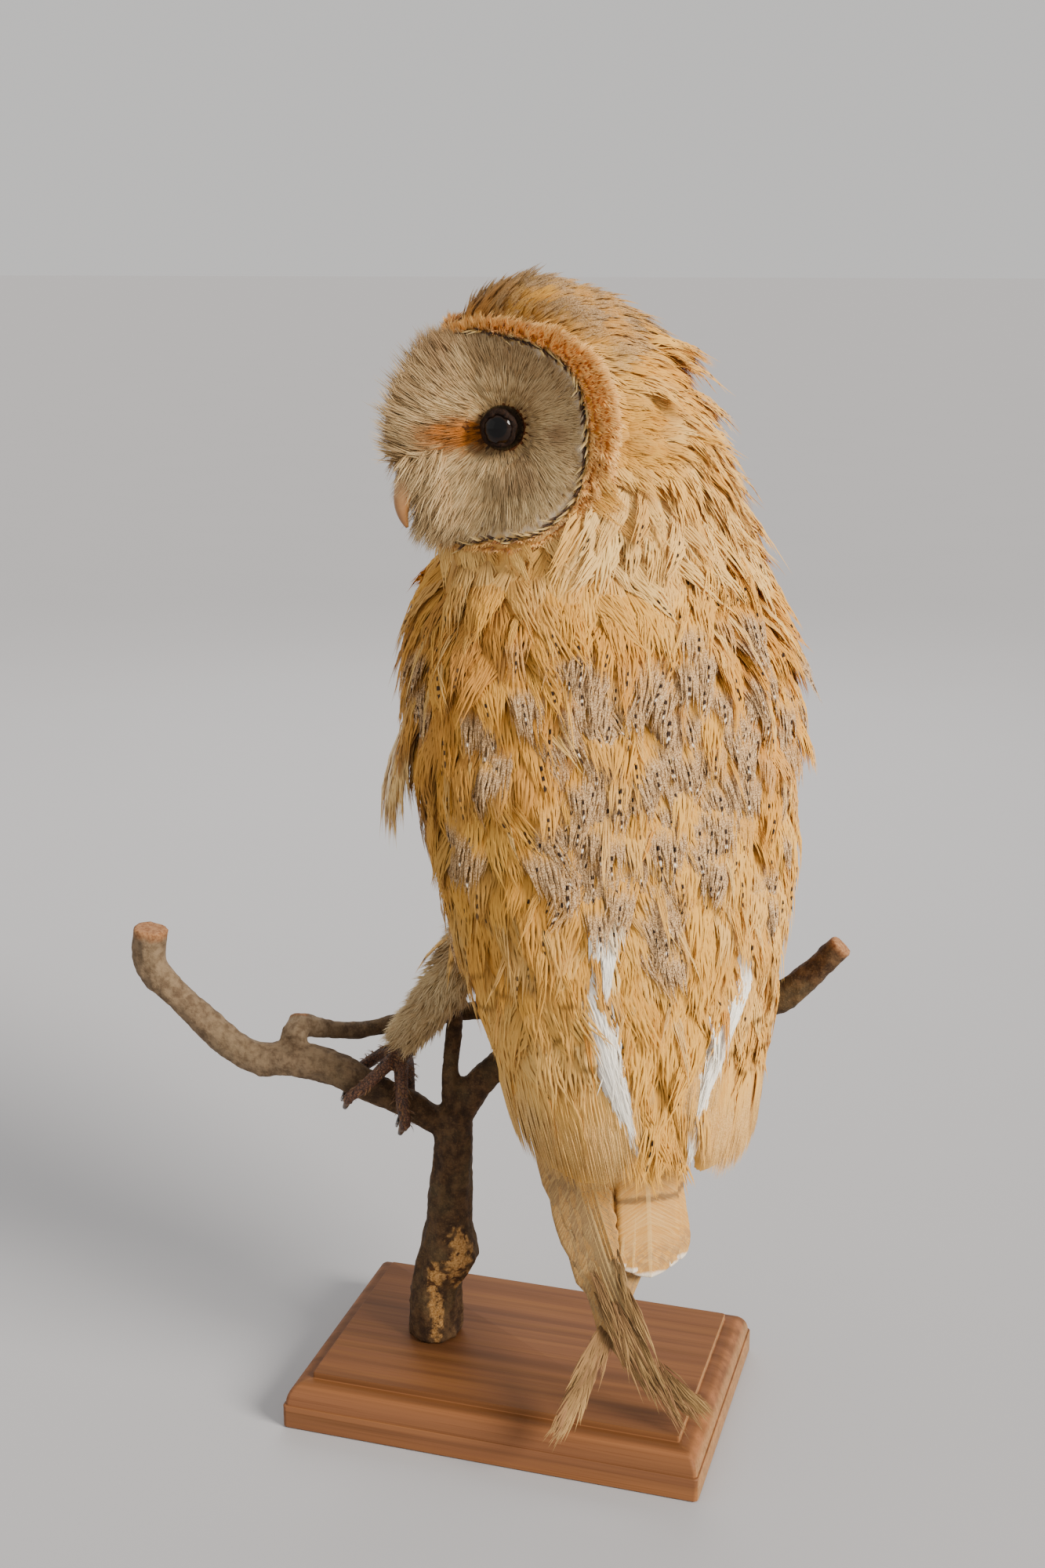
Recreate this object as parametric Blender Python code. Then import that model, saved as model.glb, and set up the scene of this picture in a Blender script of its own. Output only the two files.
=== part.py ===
"""Mounted barn owl: a stuffed bird on a forked branch, on a moulded wooden base.

The row frame has its origin under the middle of the base, the base's long side along X and +Z up.
The owl and its head have frames of their own, each an empty, in which -Y is forwards and +X is left.
Tables hold millimetres, and MM turns them into metres.
"""

import math

import bmesh
import bpy
import numpy as np
from mathutils import Matrix, Vector

MM = 0.001
GAP = 0.35 * MM  # left between neighbouring solids

BASE_LENGTH, BASE_WIDTH = 145 * MM, 95 * MM
BASE_HEIGHT = 17.8 * MM
BASE_CORNER = 1.6 * MM
BAND_HEIGHT = 8.6 * MM  # the upright edge under the moulding
TOP_INSET = 8.2 * MM
FILLET_HEIGHT = 2.2 * MM  # the small step round the top

OWL_PLACE = Vector((-24.4, -12.6, 0)) * MM
OWL_TURN = math.radians(32.8)
HEAD_PLACE = Vector((18.4, -20.9, 335)) * MM
HEAD_TURN = math.radians(102)  # the face looks over the left shoulder

# The feathered outline of neck, body and folded wings, in the owl's frame:
# height, centre x, centre y, half width, reach to the back, reach to the front.
OUTLINE = (
    (366, 9, -18, 14, 13, 12),
    (357, 8, -19, 30, 28, 26),
    (347, 6, -20, 37, 34, 32),
    (335, 4, -21, 42, 38, 36),
    (323, 3, -22, 46.5, 41, 40),
    (311, 0.5, -23, 49, 42, 43),
    (297, -2, -23, 52, 44, 47),
    (283, -2, -19, 57.5, 48, 53),
    (271, -2, -15, 61.5, 51, 56),
    (258, -1.6, -11, 64.5, 52, 57),
    (246, -1, -7, 65, 52, 57),
    (221, 0, 1, 62.2, 50, 54),
    (197, 0, 8, 58.3, 47, 48),
    (172, -0.5, 14, 52.5, 43, 33),
    (147, -1.2, 20, 46.5, 38, 17),
    (123, -1, 26, 39.3, 30, 12),
    (110, 0, 30, 34.7, 24, 11),
    (100, 0, 32, 31, 20, 10),
)
TRUNK_HEIGHTS = (118, 292)
NECK_TOP = 354
TRUNK_ROWS, NECK_ROWS = 15, 7
BODY_SIDES = 28
SECTION_POWER = 2.2

# A folded wing: height, front edge and back edge in degrees from the bird's side, thickness.
WING = (
    (303, -14, 10, 3.5),
    (297, -38, 28, 6),
    (285, -50, 40, 8.5),
    (262, -50, 47, 9),
    (235, -44, 53, 8),
    (205, -36, 59, 6.5),
    (175, -28, 64, 5),
    (150, -24, 67, 4),
    (128, -18, 69, 3.2),
    (114, -2, 67, 2.8),
    (107, 14, 62, 2.4),
    (103, 32, 52, 2.2),
)
WING_ROWS, WING_COLUMNS = 13, 7
WING_PROUD = 0.8 * MM  # how far a wing stands out of the outline
WING_EDGE = 0.35  # a wing's thickness at its edges, as a share of that at its middle

# Flight-feather bundles and the tail: point, the way the flat faces, width, thickness.
PRIMARIES_LEFT = (
    ((23.6, 28.5, 120), (0.75, 0.65, 0.1), 27, 2.6),
    ((20.4, 35.0, 97), (0.62, 0.78, 0.1), 26, 2.6),
    ((14.6, 44.0, 72), (0.40, 0.90, 0.15), 22.5, 2.4),
    ((8.2, 50.2, 52), (0.30, 0.94, 0.2), 20.5, 2.2),
    ((1.2, 54.8, 39), (0.28, 0.95, 0.25), 19, 2.0),
    ((-6.3, 58.0, 31), (0.28, 0.95, 0.3), 12, 1.7),
    ((-14.0, 60.2, 25.5), (0.28, 0.95, 0.3), 3, 1.3),
)
PRIMARIES_RIGHT = (
    ((-21.0, 24.5, 120), (-0.5, 0.85, 0.1), 20, 2.0),
    ((-13.8, 30.5, 100), (-0.2, 0.95, 0.1), 20, 2.0),
    ((0.6, 37.0, 72), (0.1, 0.98, 0.2), 16, 1.8),
    ((12.2, 44.5, 52), (0.25, 0.9, 0.4), 10, 1.7),
    ((22.9, 51.5, 36), (0.27, 0.8, 0.55), 8, 1.6),
    ((33.0, 56.2, 22), (0.27, 0.8, 0.55), 2.4, 1.2),
)
TAIL = (
    ((-3.2, 30.8, 117), (0, 1, 0.3), 30, 3.4),
    ((-3.1, 36.5, 98), (0, 1, 0.25), 36, 3.2),
    ((-2.8, 40.5, 82), (0, 1, 0.2), 37, 2.8),
    ((-2.5, 42.6, 73), (0, 1, 0.2), 31, 2.4),
    ((-2.4, 43.6, 68), (0, 1, 0.2), 20, 2.0),
    ((-2.3, 44.1, 65.5), (0, 1, 0.2), 7, 1.6),
)
LOOSE_FEATHERS = (
    ((65.0, -15.0, 243), (0.85, -0.5, 0.1), 9, 1.4),
    ((68.5, -16.0, 230), (0.85, -0.5, 0.1), 11, 1.6),
    ((69.5, -15.0, 219), (0.85, -0.5, 0.1), 8, 1.4),
    ((68.5, -13.0, 209), (0.85, -0.5, 0.1), 3, 1.1),
)
PLATE_EDGE = 0.5  # a plate's thickness at its edges, as a share of that at its middle
PLATE_ROWS = 10

# The head: height, half width, where it is widest, reach to the front, reach to the back, and the
# wedge of the face: 1 is round, 2 is two flats that meet in a ridge.
HEAD = (
    (-41, 8, 21, 28, -13, 1.0),
    (-38, 16, 16, 34, -4, 1.1),
    (-33, 25, 11, 38, 10, 1.3),
    (-26, 32, 6, 39.5, 23, 1.5),
    (-17, 38.5, 2, 42.5, 34, 1.75),
    (-9, 42, -1, 48.5, 41, 1.9),
    (1, 43.5, -3, 50, 46, 1.9),
    (9, 43, -3, 47.5, 48, 1.85),
    (17.5, 41, -2, 42, 46, 1.75),
    (27, 36, 1, 34.5, 41, 1.5),
    (34, 30, 3, 27.5, 34, 1.3),
    (40, 22, 4, 20, 25, 1.1),
    (44.5, 14, 4, 14, 15, 1.0),
    (47.5, 6, 3, 7, 5, 1.0),
)
HEAD_ROWS, HEAD_SIDES = 17, 28

EYE_RADIUS = 7.0 * MM
EYE_PLACE = Vector((17.4, -21.2, 2)) * MM

# Curved cones: a row is a point and a radius.
BILL_UPPER = (((0, -34, -8), 5.0), ((0, -42, -11), 4.5), ((0, -46, -16), 3.8), ((0, -47.4, -21.5), 2.8),
              ((0, -46.8, -26), 1.6), ((0, -45.4, -29.4), 0.4))
BILL_LOWER = (((0, -33, -18), 3.8), ((0, -39, -21), 2.8), ((0, -42.6, -24), 0.9))

LEG_LEFT = (((32.7, -2, 190), 12.0), ((38.6, -7, 175), 11.0), ((46.4, -12.3, 160), 9.6),
            ((51.6, -15.8, 150), 9.0), ((57.1, -18.5, 142), 7.2), ((62.6, -21, 133.5), 5.4),
            ((65.6, -22, 128.5), 4.8))
LEG_RIGHT = (((-30, -3, 190), 13.0), ((-33, -7, 174), 12.0), ((-36.5, -9, 160), 9.2),
             ((-38.5, -9, 150), 6.4), ((-39, -8.5, 144.5), 4.8))

LEG_CLEARANCE = 0.8 * MM  # between a leg and the body or the wing over it

# The branch, in the row frame: each row is a point on its heart and a radius.
STEM = (((32.6, 1.5, 16), 10.2), ((32.8, 1.6, 26), 9.3), ((31.6, 1.2, 42), 9.2), ((27.2, 0.4, 50), 10.8),
        ((27.6, 0.2, 58), 8.8), ((27.4, 0.1, 67), 7.8), ((26.6, -0.3, 80), 7.0),
        ((26.0, -0.5, 93), 7.2), ((25.6, -0.8, 104), 6.2))
LIMB_LEFT = (((28, 0.2, 96), 4.6), ((39.4, 3.5, 104.7), 4.7), ((58.6, 7.2, 114.1), 5.5),
             ((69.6, 10.5, 119.4), 6.0), ((80.4, 13.8, 121.4), 6.0), ((92.4, 15.3, 120.8), 5.6),
             ((101.4, 18, 127.8), 5.2), ((111.2, 18.9, 136.3), 4.9), ((119.6, 20.3, 144.2), 5.0),
             ((126.4, 21.5, 152), 5.3), ((127.4, 21.5, 160.2), 5.5), ((126.6, 21.4, 167), 6.0))
LIMB_RIGHT = (((25, -0.8, 100), 5.4), ((17.1, -3.2, 114), 5.0), ((8, -7.5, 121.6), 5.0),
              ((-9.2, -17.4, 125.8), 5.2), ((-28.5, -28.5, 127.7), 5.3), ((-50, -35.7, 132), 5.4),
              ((-77.3, -37.9, 142.3), 5.4), ((-84, -37.8, 146), 5.0), ((-92.8, -38.4, 155.6), 4.4),
              ((-100.1, -38.5, 163.7), 3.9))
LIMB_UP = (((25.8, -0.7, 100), 4.2), ((27.0, -1.6, 118), 3.2), ((27.2, -5.0, 129), 2.6),
           ((27.8, -8.6, 140.5), 2.4))
TWIG = (((79.6, 11.5, 127), 4.4), ((80.2, 6.4, 131), 4.6), ((76.5, 2.2, 129.3), 3.4),
        ((64.8, -3.4, 126.8), 3.2), ((47, -9.6, 129.8), 3.2), ((25, -18.5, 133), 3.1),
        ((4.6, -26, 134.5), 3.0), ((-6, -29, 135.5), 2.8))
BARK_SIDES, BARK_ROWS = 9, 14
BARK_SWELL = 0.05  # how much a limb's radius wanders

# Feet: where the pad is, and how the toes hold the limb.
PAD_RADIUS = 4.6 * MM
TOES = ((1, 1, 11), (1, -1, 10), (-1, 1, 9), (-1, -1, 12))  # side of the limb, way along it, splay
TOE_CLEARANCE = 1.2 * MM  # between a toe's underside and the bark
TOE_START = 0.06
TOE_DROP = 1.6  # how soon a toe comes down from the pad's height
TOE_SPREAD = 1.25  # how soon a toe reaches its full splay
TOE_RADII = (2.7, 1.9)
TOE_SWEEP = math.radians(128)  # how far round the limb a toe goes, from over it
TOE_STEPS, TOE_SIDES = 6, 6
CLAW_SWEEP = math.radians(62)
CLAW_RADII = (1.55, 0.3)
CLAW_ARCH = 2.4 * MM
CLAW_STEPS = 6


def table_at(table, at):
    """The values of a table at one place, on a smooth curve through its rows."""
    rows = np.array(sorted(table), float)
    keys, values = rows[:, 0], rows[:, 1:]
    slopes = np.gradient(values, keys, axis=0)
    i = int(np.clip(np.searchsorted(keys, at) - 1, 0, len(keys) - 2))
    step = keys[i + 1] - keys[i]
    t = float(np.clip((at - keys[i]) / step, 0, 1))
    return (
        (2 * t**3 - 3 * t**2 + 1) * values[i]
        + (t**3 - 2 * t**2 + t) * step * slopes[i]
        + (3 * t**2 - 2 * t**3) * values[i + 1]
        + (t**3 - t**2) * step * slopes[i + 1]
    )


def along(rows, steps):
    """Evenly stepped values from one end of a list of rows to the other."""
    table = [(i, *row) for i, row in enumerate(rows)]
    return [table_at(table, t) for t in np.linspace(0, len(rows) - 1, steps)]


def flat_rows(rows):
    """Rows of a point and loose numbers as rows of plain numbers."""
    return [[n for item in row for n in (item if isinstance(item, tuple) else (item,))] for row in rows]


def material(name, colour, roughness):
    """A plain Principled finish."""
    finish = bpy.data.materials.get(name)
    if finish is None:
        finish = bpy.data.materials.new(name)
        finish.use_nodes = True
        shader = finish.node_tree.nodes["Principled BSDF"]
        shader.inputs["Base Color"].default_value = (*colour, 1)
        shader.inputs["Roughness"].default_value = roughness
    return finish


def finishes():
    """The finishes of the owl and its mount."""
    return {
        "wood": material("oiled_softwood", (0.30, 0.11, 0.03), 0.45),
        "bark": material("dry_bark", (0.14, 0.09, 0.045), 0.85),
        "plumage": material("golden_plumage", (0.64, 0.37, 0.13), 0.8),
        "face": material("pale_face_plumage", (0.72, 0.60, 0.44), 0.85),
        "fluff": material("cream_leg_fluff", (0.48, 0.34, 0.18), 0.9),
        "toe": material("dry_toe_skin", (0.07, 0.035, 0.02), 0.6),
        "horn": material("horn", (0.42, 0.26, 0.15), 0.4),
        "claw": material("dark_claw", (0.03, 0.02, 0.015), 0.35),
        "eye": material("dark_glass_eye", (0.01, 0.006, 0.004), 0.05),
    }


def mesh_object(name, bm, finish, parent, collection):
    """A bmesh as an object whose place is given in its parent's frame."""
    bmesh.ops.recalc_face_normals(bm, faces=bm.faces)
    mesh = bpy.data.meshes.new(name)
    bm.to_mesh(mesh)
    bm.free()
    if finish:
        mesh.materials.append(finish)
    obj = bpy.data.objects.new(name, mesh)
    collection.objects.link(obj)
    obj.parent = parent
    mesh.shade_smooth()
    mesh.set_sharp_from_angle(angle=math.radians(50))
    return obj


def loft(rings):
    """A closed surface through rings of points, each end closed by a fan."""
    bm = bmesh.new()
    loops = [[bm.verts.new(point) for point in ring] for ring in rings]
    for lower, upper in zip(loops, loops[1:]):
        for i in range(len(lower)):
            j = (i + 1) % len(lower)
            bm.faces.new((lower[i], lower[j], upper[j], upper[i]))
    for ring, loop in ((rings[0], loops[0]), (rings[-1], loops[-1])):
        hub = bm.verts.new(sum((Vector(p) for p in ring), Vector()) / len(ring))
        for i in range(len(loop)):
            bm.faces.new((loop[i], loop[(i + 1) % len(loop)], hub))
    return bm


def grown_copy(obj, distance, cutters):
    """A cutter: a copy of an object with its surface moved outwards."""
    bm = bmesh.new()
    bm.from_mesh(obj.data)
    bm.normal_update()
    moves = [(v, v.normal * distance * min(v.calc_shell_factor(), 2)) for v in bm.verts]
    for vertex, move in moves:
        vertex.co += move
    cutter = mesh_object(f"{obj.name}_cutter", bm, None, obj.parent, cutters)
    cutter.hide_render = True
    cutter.display_type = "WIRE"
    return cutter


def keep_largest(mesh):
    """Drops the small loose pieces that a cut leaves."""
    bm = bmesh.new()
    bm.from_mesh(mesh)
    bmesh.ops.dissolve_degenerate(bm, dist=0.002 * MM, edges=bm.edges)
    bmesh.ops.remove_doubles(bm, verts=bm.verts, dist=0.004 * MM)
    left, islands = set(bm.verts), []
    while left:
        island, queue = set(), [left.pop()]
        while queue:
            vertex = queue.pop()
            island.add(vertex)
            near = {e.other_vert(vertex) for e in vertex.link_edges} & left
            left -= near
            queue.extend(near)
        islands.append(island)

    def spread(island):
        corners = np.array([v.co for v in island])
        return float(np.prod(np.ptp(corners, axis=0)))

    largest = max(islands, key=spread)
    bmesh.ops.delete(bm, geom=[v for v in bm.verts if v not in largest], context="VERTS")
    bm.to_mesh(mesh)
    bm.free()


def apply_boolean(obj, other, operation):
    """Cuts an object with another or joins them, makes the result its mesh, and removes the other."""
    change = obj.modifiers.new(other.name, "BOOLEAN")
    change.operation = operation
    change.solver = "EXACT"
    change.object = other
    bpy.context.view_layer.update()
    graph = bpy.context.evaluated_depsgraph_get()
    mesh = bpy.data.meshes.new_from_object(obj.evaluated_get(graph))
    obj.modifiers.clear()
    obj.data = mesh
    bpy.data.objects.remove(other)


def carve(obj, cutters):
    """Cuts an object with one cutter after another, and keeps its main piece each time."""
    for cutter in cutters:
        apply_boolean(obj, cutter, "DIFFERENCE")
        keep_largest(obj.data)


def outline_point(height, turn, side=1, out=0.0):
    """A point of the feathered outline: turn 0 is the bird's side and 90 degrees its back."""
    x, y, half, back, front = table_at(OUTLINE, height)
    cos, sin = math.cos(turn), math.sin(turn)
    deep = back if sin > 0 else front
    p = SECTION_POWER
    reach = (abs(cos / half) ** p + abs(sin / deep) ** p) ** (-1 / p)
    return Vector((x + side * cos * (reach + out), y + sin * (reach + out), height)) * MM


def body_rings(low, high, rows):
    """Rings of the outline between two heights."""
    turns = np.linspace(0, 2 * math.pi, BODY_SIDES, endpoint=False)
    return [[outline_point(z, a) for a in turns] for z in np.linspace(low, high, rows)]


def wing_mesh(side, out=0.0, inside=0.0, spread=0.0):
    """A folded wing: a curved plate that lies on the outline and thins to its edges.

    out, inside and spread are how far it is swollen outwards, inwards and at its edges, which
    makes the cutter of the hollow that the wing lies in.
    """
    bm = bmesh.new()
    outer, inner = [], []
    heights = [row[0] for row in WING]
    tables = along([(h,) for h in heights], WING_ROWS)
    for z in [float(t[0]) for t in tables]:
        first, last, thick = table_at(WING, z)
        x, y, half, back, front = table_at(OUTLINE, z)
        more = math.degrees(spread / (half * MM))
        turns = np.radians(np.linspace(first, last, WING_COLUMNS))
        turns[0] -= math.radians(more)
        turns[-1] += math.radians(more)
        shares = WING_EDGE + (1 - WING_EDGE) * np.sin(np.linspace(0, math.pi, WING_COLUMNS)) ** 0.6
        proud = (WING_PROUD + out) / MM
        sunk = inside / MM
        lift = 0.0
        if z == heights[0]:
            lift = spread
        if z == heights[-1]:
            lift = -spread
        rise = Vector((0, 0, lift))
        outer.append([bm.verts.new(outline_point(z, a, side, proud) + rise) for a in turns])
        inner.append([
            bm.verts.new(outline_point(z, a, side, proud - out / MM - thick * share - sunk) + rise)
            for a, share in zip(turns, shares)
        ])
    for grid in (outer, inner):
        for row, above in zip(grid, grid[1:]):
            for i in range(WING_COLUMNS - 1):
                bm.faces.new((row[i], row[i + 1], above[i + 1]))
                bm.faces.new((row[i], above[i + 1], above[i]))
    rim_outer = outer[0] + [r[-1] for r in outer[1:-1]] + outer[-1][::-1] + [r[0] for r in outer[-2:0:-1]]
    rim_inner = inner[0] + [r[-1] for r in inner[1:-1]] + inner[-1][::-1] + [r[0] for r in inner[-2:0:-1]]
    for i in range(len(rim_outer)):
        j = (i + 1) % len(rim_outer)
        bm.faces.new((rim_outer[i], rim_outer[j], rim_inner[j], rim_inner[i]))
    return bm


def plate_mesh(rows, camber=0.0):
    """A long flat blade of feathers: rounded across, thin at its edges."""
    bands = along(flat_rows(rows), PLATE_ROWS)
    points = [Vector(b[:3]) * MM for b in bands]
    rings = []
    for i, band in enumerate(bands):
        run = (points[min(i + 1, len(points) - 1)] - points[max(i - 1, 0)]).normalized()
        face = Vector(band[3:6])
        face = (face - run * face.dot(run)).normalized()
        across = run.cross(face)
        width, thick = band[6] * MM, band[7] * MM
        stations = (-1, -0.55, 0, 0.55, 1)
        ring = []
        for sign, order in ((1, stations), (-1, stations[::-1])):
            for u in order:
                half = thick / 2 * (1 - (1 - PLATE_EDGE) * u * u)
                ring.append(points[i] + across * (u * width / 2) + face * (sign * half - camber * u * u))
        rings.append(ring)
    return loft(rings)


def tube_mesh(rows, sides, steps, swell=0.0, phase=0.0):
    """A tube of changing radius on a smooth route, with a wandering surface if swell is given."""
    bands = along(flat_rows(rows), steps)
    points = [Vector(b[:3]) * MM for b in bands]
    rings = []
    guide = Vector((0.17, 0.93, 0.31))
    for i, band in enumerate(bands):
        run = (points[min(i + 1, len(points) - 1)] - points[max(i - 1, 0)]).normalized()
        one = (guide - run * guide.dot(run)).normalized()
        two = run.cross(one)
        guide = one
        ring = []
        for a in np.linspace(0, 2 * math.pi, sides, endpoint=False):
            wander = 1 + swell * (math.sin(3 * a + phase + 0.9 * i) + 0.6 * math.sin(5 * a - 1.7 * i))
            ring.append(points[i] + (one * math.cos(a) + two * math.sin(a)) * band[3] * MM * wander)
        rings.append(ring)
    return loft(rings)


def head_mesh():
    """The feathered head with its wedge of a face."""
    rings = []
    for z in np.linspace(HEAD[0][0], HEAD[-1][0], HEAD_ROWS):
        half, widest, front, back, wedge = table_at(HEAD, z)
        ring = []
        for a in np.linspace(0, 2 * math.pi, HEAD_SIDES, endpoint=False):
            cos, sin = math.cos(a), math.sin(a)
            power = wedge if sin > 0 else 1
            x = half * math.copysign(abs(cos) ** power, cos)
            ahead = widest + ((front - widest) * abs(sin) ** power if sin > 0 else (back + widest) * sin)
            ring.append(Vector((x, -ahead, z)) * MM)
        rings.append(ring)
    return loft(rings)


def ball(name, centre, radius, finish, parent, collection):
    """A sphere on a primitive."""
    bm = bmesh.new()
    bmesh.ops.create_uvsphere(
        bm, u_segments=12, v_segments=8, radius=radius, matrix=Matrix.Translation(centre)
    )
    return mesh_object(name, bm, finish, parent, collection)


def build_base(finish, collection):
    """The moulded base: an upright band, a quarter round and a small step up to the flat top."""
    round_height = BASE_HEIGHT - FILLET_HEIGHT - BAND_HEIGHT
    profile = [(0, 0), (0, BAND_HEIGHT)]
    for a in np.linspace(0, math.pi / 2, 6)[1:]:
        profile.append((TOP_INSET * 0.9 * (1 - math.cos(a)), BAND_HEIGHT + round_height * math.sin(a)))
    profile += [(TOP_INSET, BASE_HEIGHT - FILLET_HEIGHT), (TOP_INSET, BASE_HEIGHT)]
    rings = []
    for inset, height in profile:
        ring = []
        for quarter in range(4):
            sign_x = 1 if quarter in (0, 3) else -1
            sign_y = 1 if quarter in (0, 1) else -1
            centre_x = sign_x * (BASE_LENGTH / 2 - inset - BASE_CORNER)
            centre_y = sign_y * (BASE_WIDTH / 2 - inset - BASE_CORNER)
            for a in np.linspace(0, math.pi / 2, 3) + quarter * math.pi / 2:
                x = centre_x + BASE_CORNER * math.cos(a)
                y = centre_y + BASE_CORNER * math.sin(a)
                ring.append(Vector((x, y, height)))
        rings.append(ring)
    return mesh_object("base_plate", loft(rings), finish, None, collection)


def build_branch(finish, base, collection, cutters):
    """The branch: its stem with three limbs; the left one carries a twig, joined to it."""
    def limb(name, rows, steps=BARK_ROWS, phase=0.0):
        shape = tube_mesh(rows, BARK_SIDES, steps, BARK_SWELL, phase)
        return mesh_object(name, shape, finish, None, collection)

    stem = limb("perch_stem", STEM)
    left = limb("perch_limb_left", LIMB_LEFT, 2 * BARK_ROWS - 4, 1.0)
    right = limb("perch_limb_right", LIMB_RIGHT, 2 * BARK_ROWS - 8, 2.0)
    up = limb("perch_limb_up", LIMB_UP, BARK_ROWS // 2, 3.0)
    twig_mesh = tube_mesh(TWIG, BARK_SIDES, BARK_ROWS, BARK_SWELL, 4.0)
    twig = mesh_object("twig", twig_mesh, None, None, cutters)
    carve(stem, [grown_copy(base, GAP, cutters)])
    for piece in (left, right, up):
        carve(piece, [grown_copy(stem, GAP, cutters)])
    carve(up, [grown_copy(left, GAP, cutters), grown_copy(right, GAP, cutters)])
    carve(right, [grown_copy(left, GAP, cutters)])
    apply_boolean(left, twig, "UNION")
    return {"left": left, "right": right}


def limb_at(rows, share):
    """The heart, direction and radius of a limb part of the way along it."""
    bands = along(flat_rows(rows), 101)
    i = round(share * 100)
    heart, ahead = Vector(bands[i][:3]) * MM, Vector(bands[min(i + 1, 100)][:3]) * MM
    return heart, (ahead - heart).normalized(), bands[i][3] * MM


def build_foot(side, rows, share, pad_rise, finish, claw_finish, collection, cutters):
    """A foot: a pad over the limb, four toes that arch round it, and a claw on each."""
    heart, run, thick = limb_at(rows, share)
    up = (Vector((0, 0, 1)) - run * run.z).normalized()
    out = run.cross(up)
    pad = heart + up * pad_rise
    foot = ball(f"foot_{side}", pad, PAD_RADIUS, finish, None, collection)
    for number, (across, way, splay) in enumerate(TOES, start=1):
        def arch(sweep, t, lift):
            turn = sweep * across
            reach = lift + (pad_rise - lift) * max(0.0, 1 - t) ** TOE_DROP
            return heart + run * (way * splay * MM * min(1, TOE_SPREAD * t)) + (
                up * math.cos(turn) + out * math.sin(turn)
            ) * reach

        clear = thick * (1 + 2 * BARK_SWELL) + TOE_CLEARANCE
        toe_rows = []
        for t in np.linspace(TOE_START, 1, TOE_STEPS):
            radius = TOE_RADII[0] + (TOE_RADII[1] - TOE_RADII[0]) * t
            point = arch(TOE_SWEEP * t, t, clear + radius * MM)
            toe_rows.append((*(point / MM), radius))
        toe = mesh_object(f"toe_{side}", tube_mesh(toe_rows, TOE_SIDES, TOE_STEPS + 2), None, None, cutters)
        apply_boolean(foot, toe, "UNION")
        claw_rows = []
        start = GAP / clear
        for t in np.linspace(0, 1, CLAW_STEPS):
            radius = CLAW_RADII[0] + (CLAW_RADII[1] - CLAW_RADII[0]) * t
            lift = clear + TOE_RADII[1] * MM + CLAW_ARCH * math.sin(math.pi * t) * (1 - 0.5 * t)
            point = arch(TOE_SWEEP + TOE_START + start + CLAW_SWEEP * t, 1, lift)
            claw_rows.append((*(point / MM), radius))
        claw = mesh_object(
            f"claw_{side}_{number}", tube_mesh(claw_rows, 5, CLAW_STEPS), claw_finish, None, collection
        )
        carve(claw, [grown_copy(foot, GAP, cutters)])
    return foot


def build_eyes(finish, head, collection, cutters, skull):
    """Both eyes, and their sockets in the head."""
    for side, sign in (("left", 1), ("right", -1)):
        centre = Vector((sign * EYE_PLACE.x, EYE_PLACE.y, EYE_PLACE.z))
        eye = ball(f"eye_{side}", centre, EYE_RADIUS, finish, head, collection)
        carve(skull, [grown_copy(eye, GAP, cutters)])


def build_head(finish, head, collection, cutters):
    """The head, still whole, and its bill."""
    skull = mesh_object("head", head_mesh(), finish["face"], head, collection)
    upper = mesh_object("bill_upper", tube_mesh(BILL_UPPER, 9, 10), finish["horn"], head, collection)
    lower = mesh_object("bill_lower", tube_mesh(BILL_LOWER, 8, 6), finish["horn"], head, collection)
    carve(upper, [grown_copy(skull, GAP, cutters)])
    carve(lower, [grown_copy(skull, GAP, cutters), grown_copy(upper, GAP, cutters)])
    return skull


def build_wings(finish, owl, collection):
    """Both folded wings, the flight-feather bundles under them, and the tail."""
    plates = {}
    for side, sign in (("left", 1), ("right", -1)):
        name = f"wing_{side}"
        plates[name] = mesh_object(name, wing_mesh(sign), finish, owl, collection)
    for name, rows, camber in (
        ("primaries_left", PRIMARIES_LEFT, 0.8 * MM),
        ("tail", TAIL, 1.8 * MM),
        ("primaries_right", PRIMARIES_RIGHT, 0.6 * MM),
        ("loose_feathers_left", LOOSE_FEATHERS, 0.4 * MM),
    ):
        plates[name] = mesh_object(name, plate_mesh(rows, camber), finish, owl, collection)
    return plates


def build_body(finish, owl, collection, cutters, skull, plates, limbs):
    """Trunk, neck and legs, cut to lie against the head and under the wings."""
    low, high = TRUNK_HEIGHTS
    trunk = mesh_object("trunk", loft(body_rings(low, high, TRUNK_ROWS)), finish["plumage"], owl, collection)
    neck_rings = body_rings(high + GAP / MM, NECK_TOP, NECK_ROWS)
    neck = mesh_object("neck", loft(neck_rings), finish["plumage"], owl, collection)

    def hollows():
        made = []
        for sign in (1, -1):
            bm = wing_mesh(sign, 4 * MM, GAP, GAP)
            cutter = mesh_object("wing_hollow", bm, None, owl, cutters)
            cutter.hide_render = True
            cutter.display_type = "WIRE"
            made.append(cutter)
        return made

    def grown(*objects):
        return [grown_copy(obj, GAP, cutters) for obj in objects]

    left, right = plates["wing_left"], plates["wing_right"]
    blade, back_blade, tail = plates["primaries_left"], plates["primaries_right"], plates["tail"]
    carve(left, grown(skull))
    carve(blade, grown(left))
    carve(tail, grown(blade, left, right))
    carve(back_blade, grown(blade, tail, right, left))
    carve(plates["loose_feathers_left"], grown(left))
    carve(trunk, hollows() + grown(skull, blade, tail, back_blade))
    carve(neck, grown(skull) + hollows())
    for side, rows in (("left", LEG_LEFT), ("right", LEG_RIGHT)):
        leg = mesh_object(f"leg_{side}", tube_mesh(rows, 14, 9), finish["fluff"], owl, collection)
        around = [plates[f"wing_{side}"], trunk]
        carve(leg, [grown_copy(piece, LEG_CLEARANCE, cutters) for piece in around])
        carve(leg, grown(limbs[f"foot_{side}"]))


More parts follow.
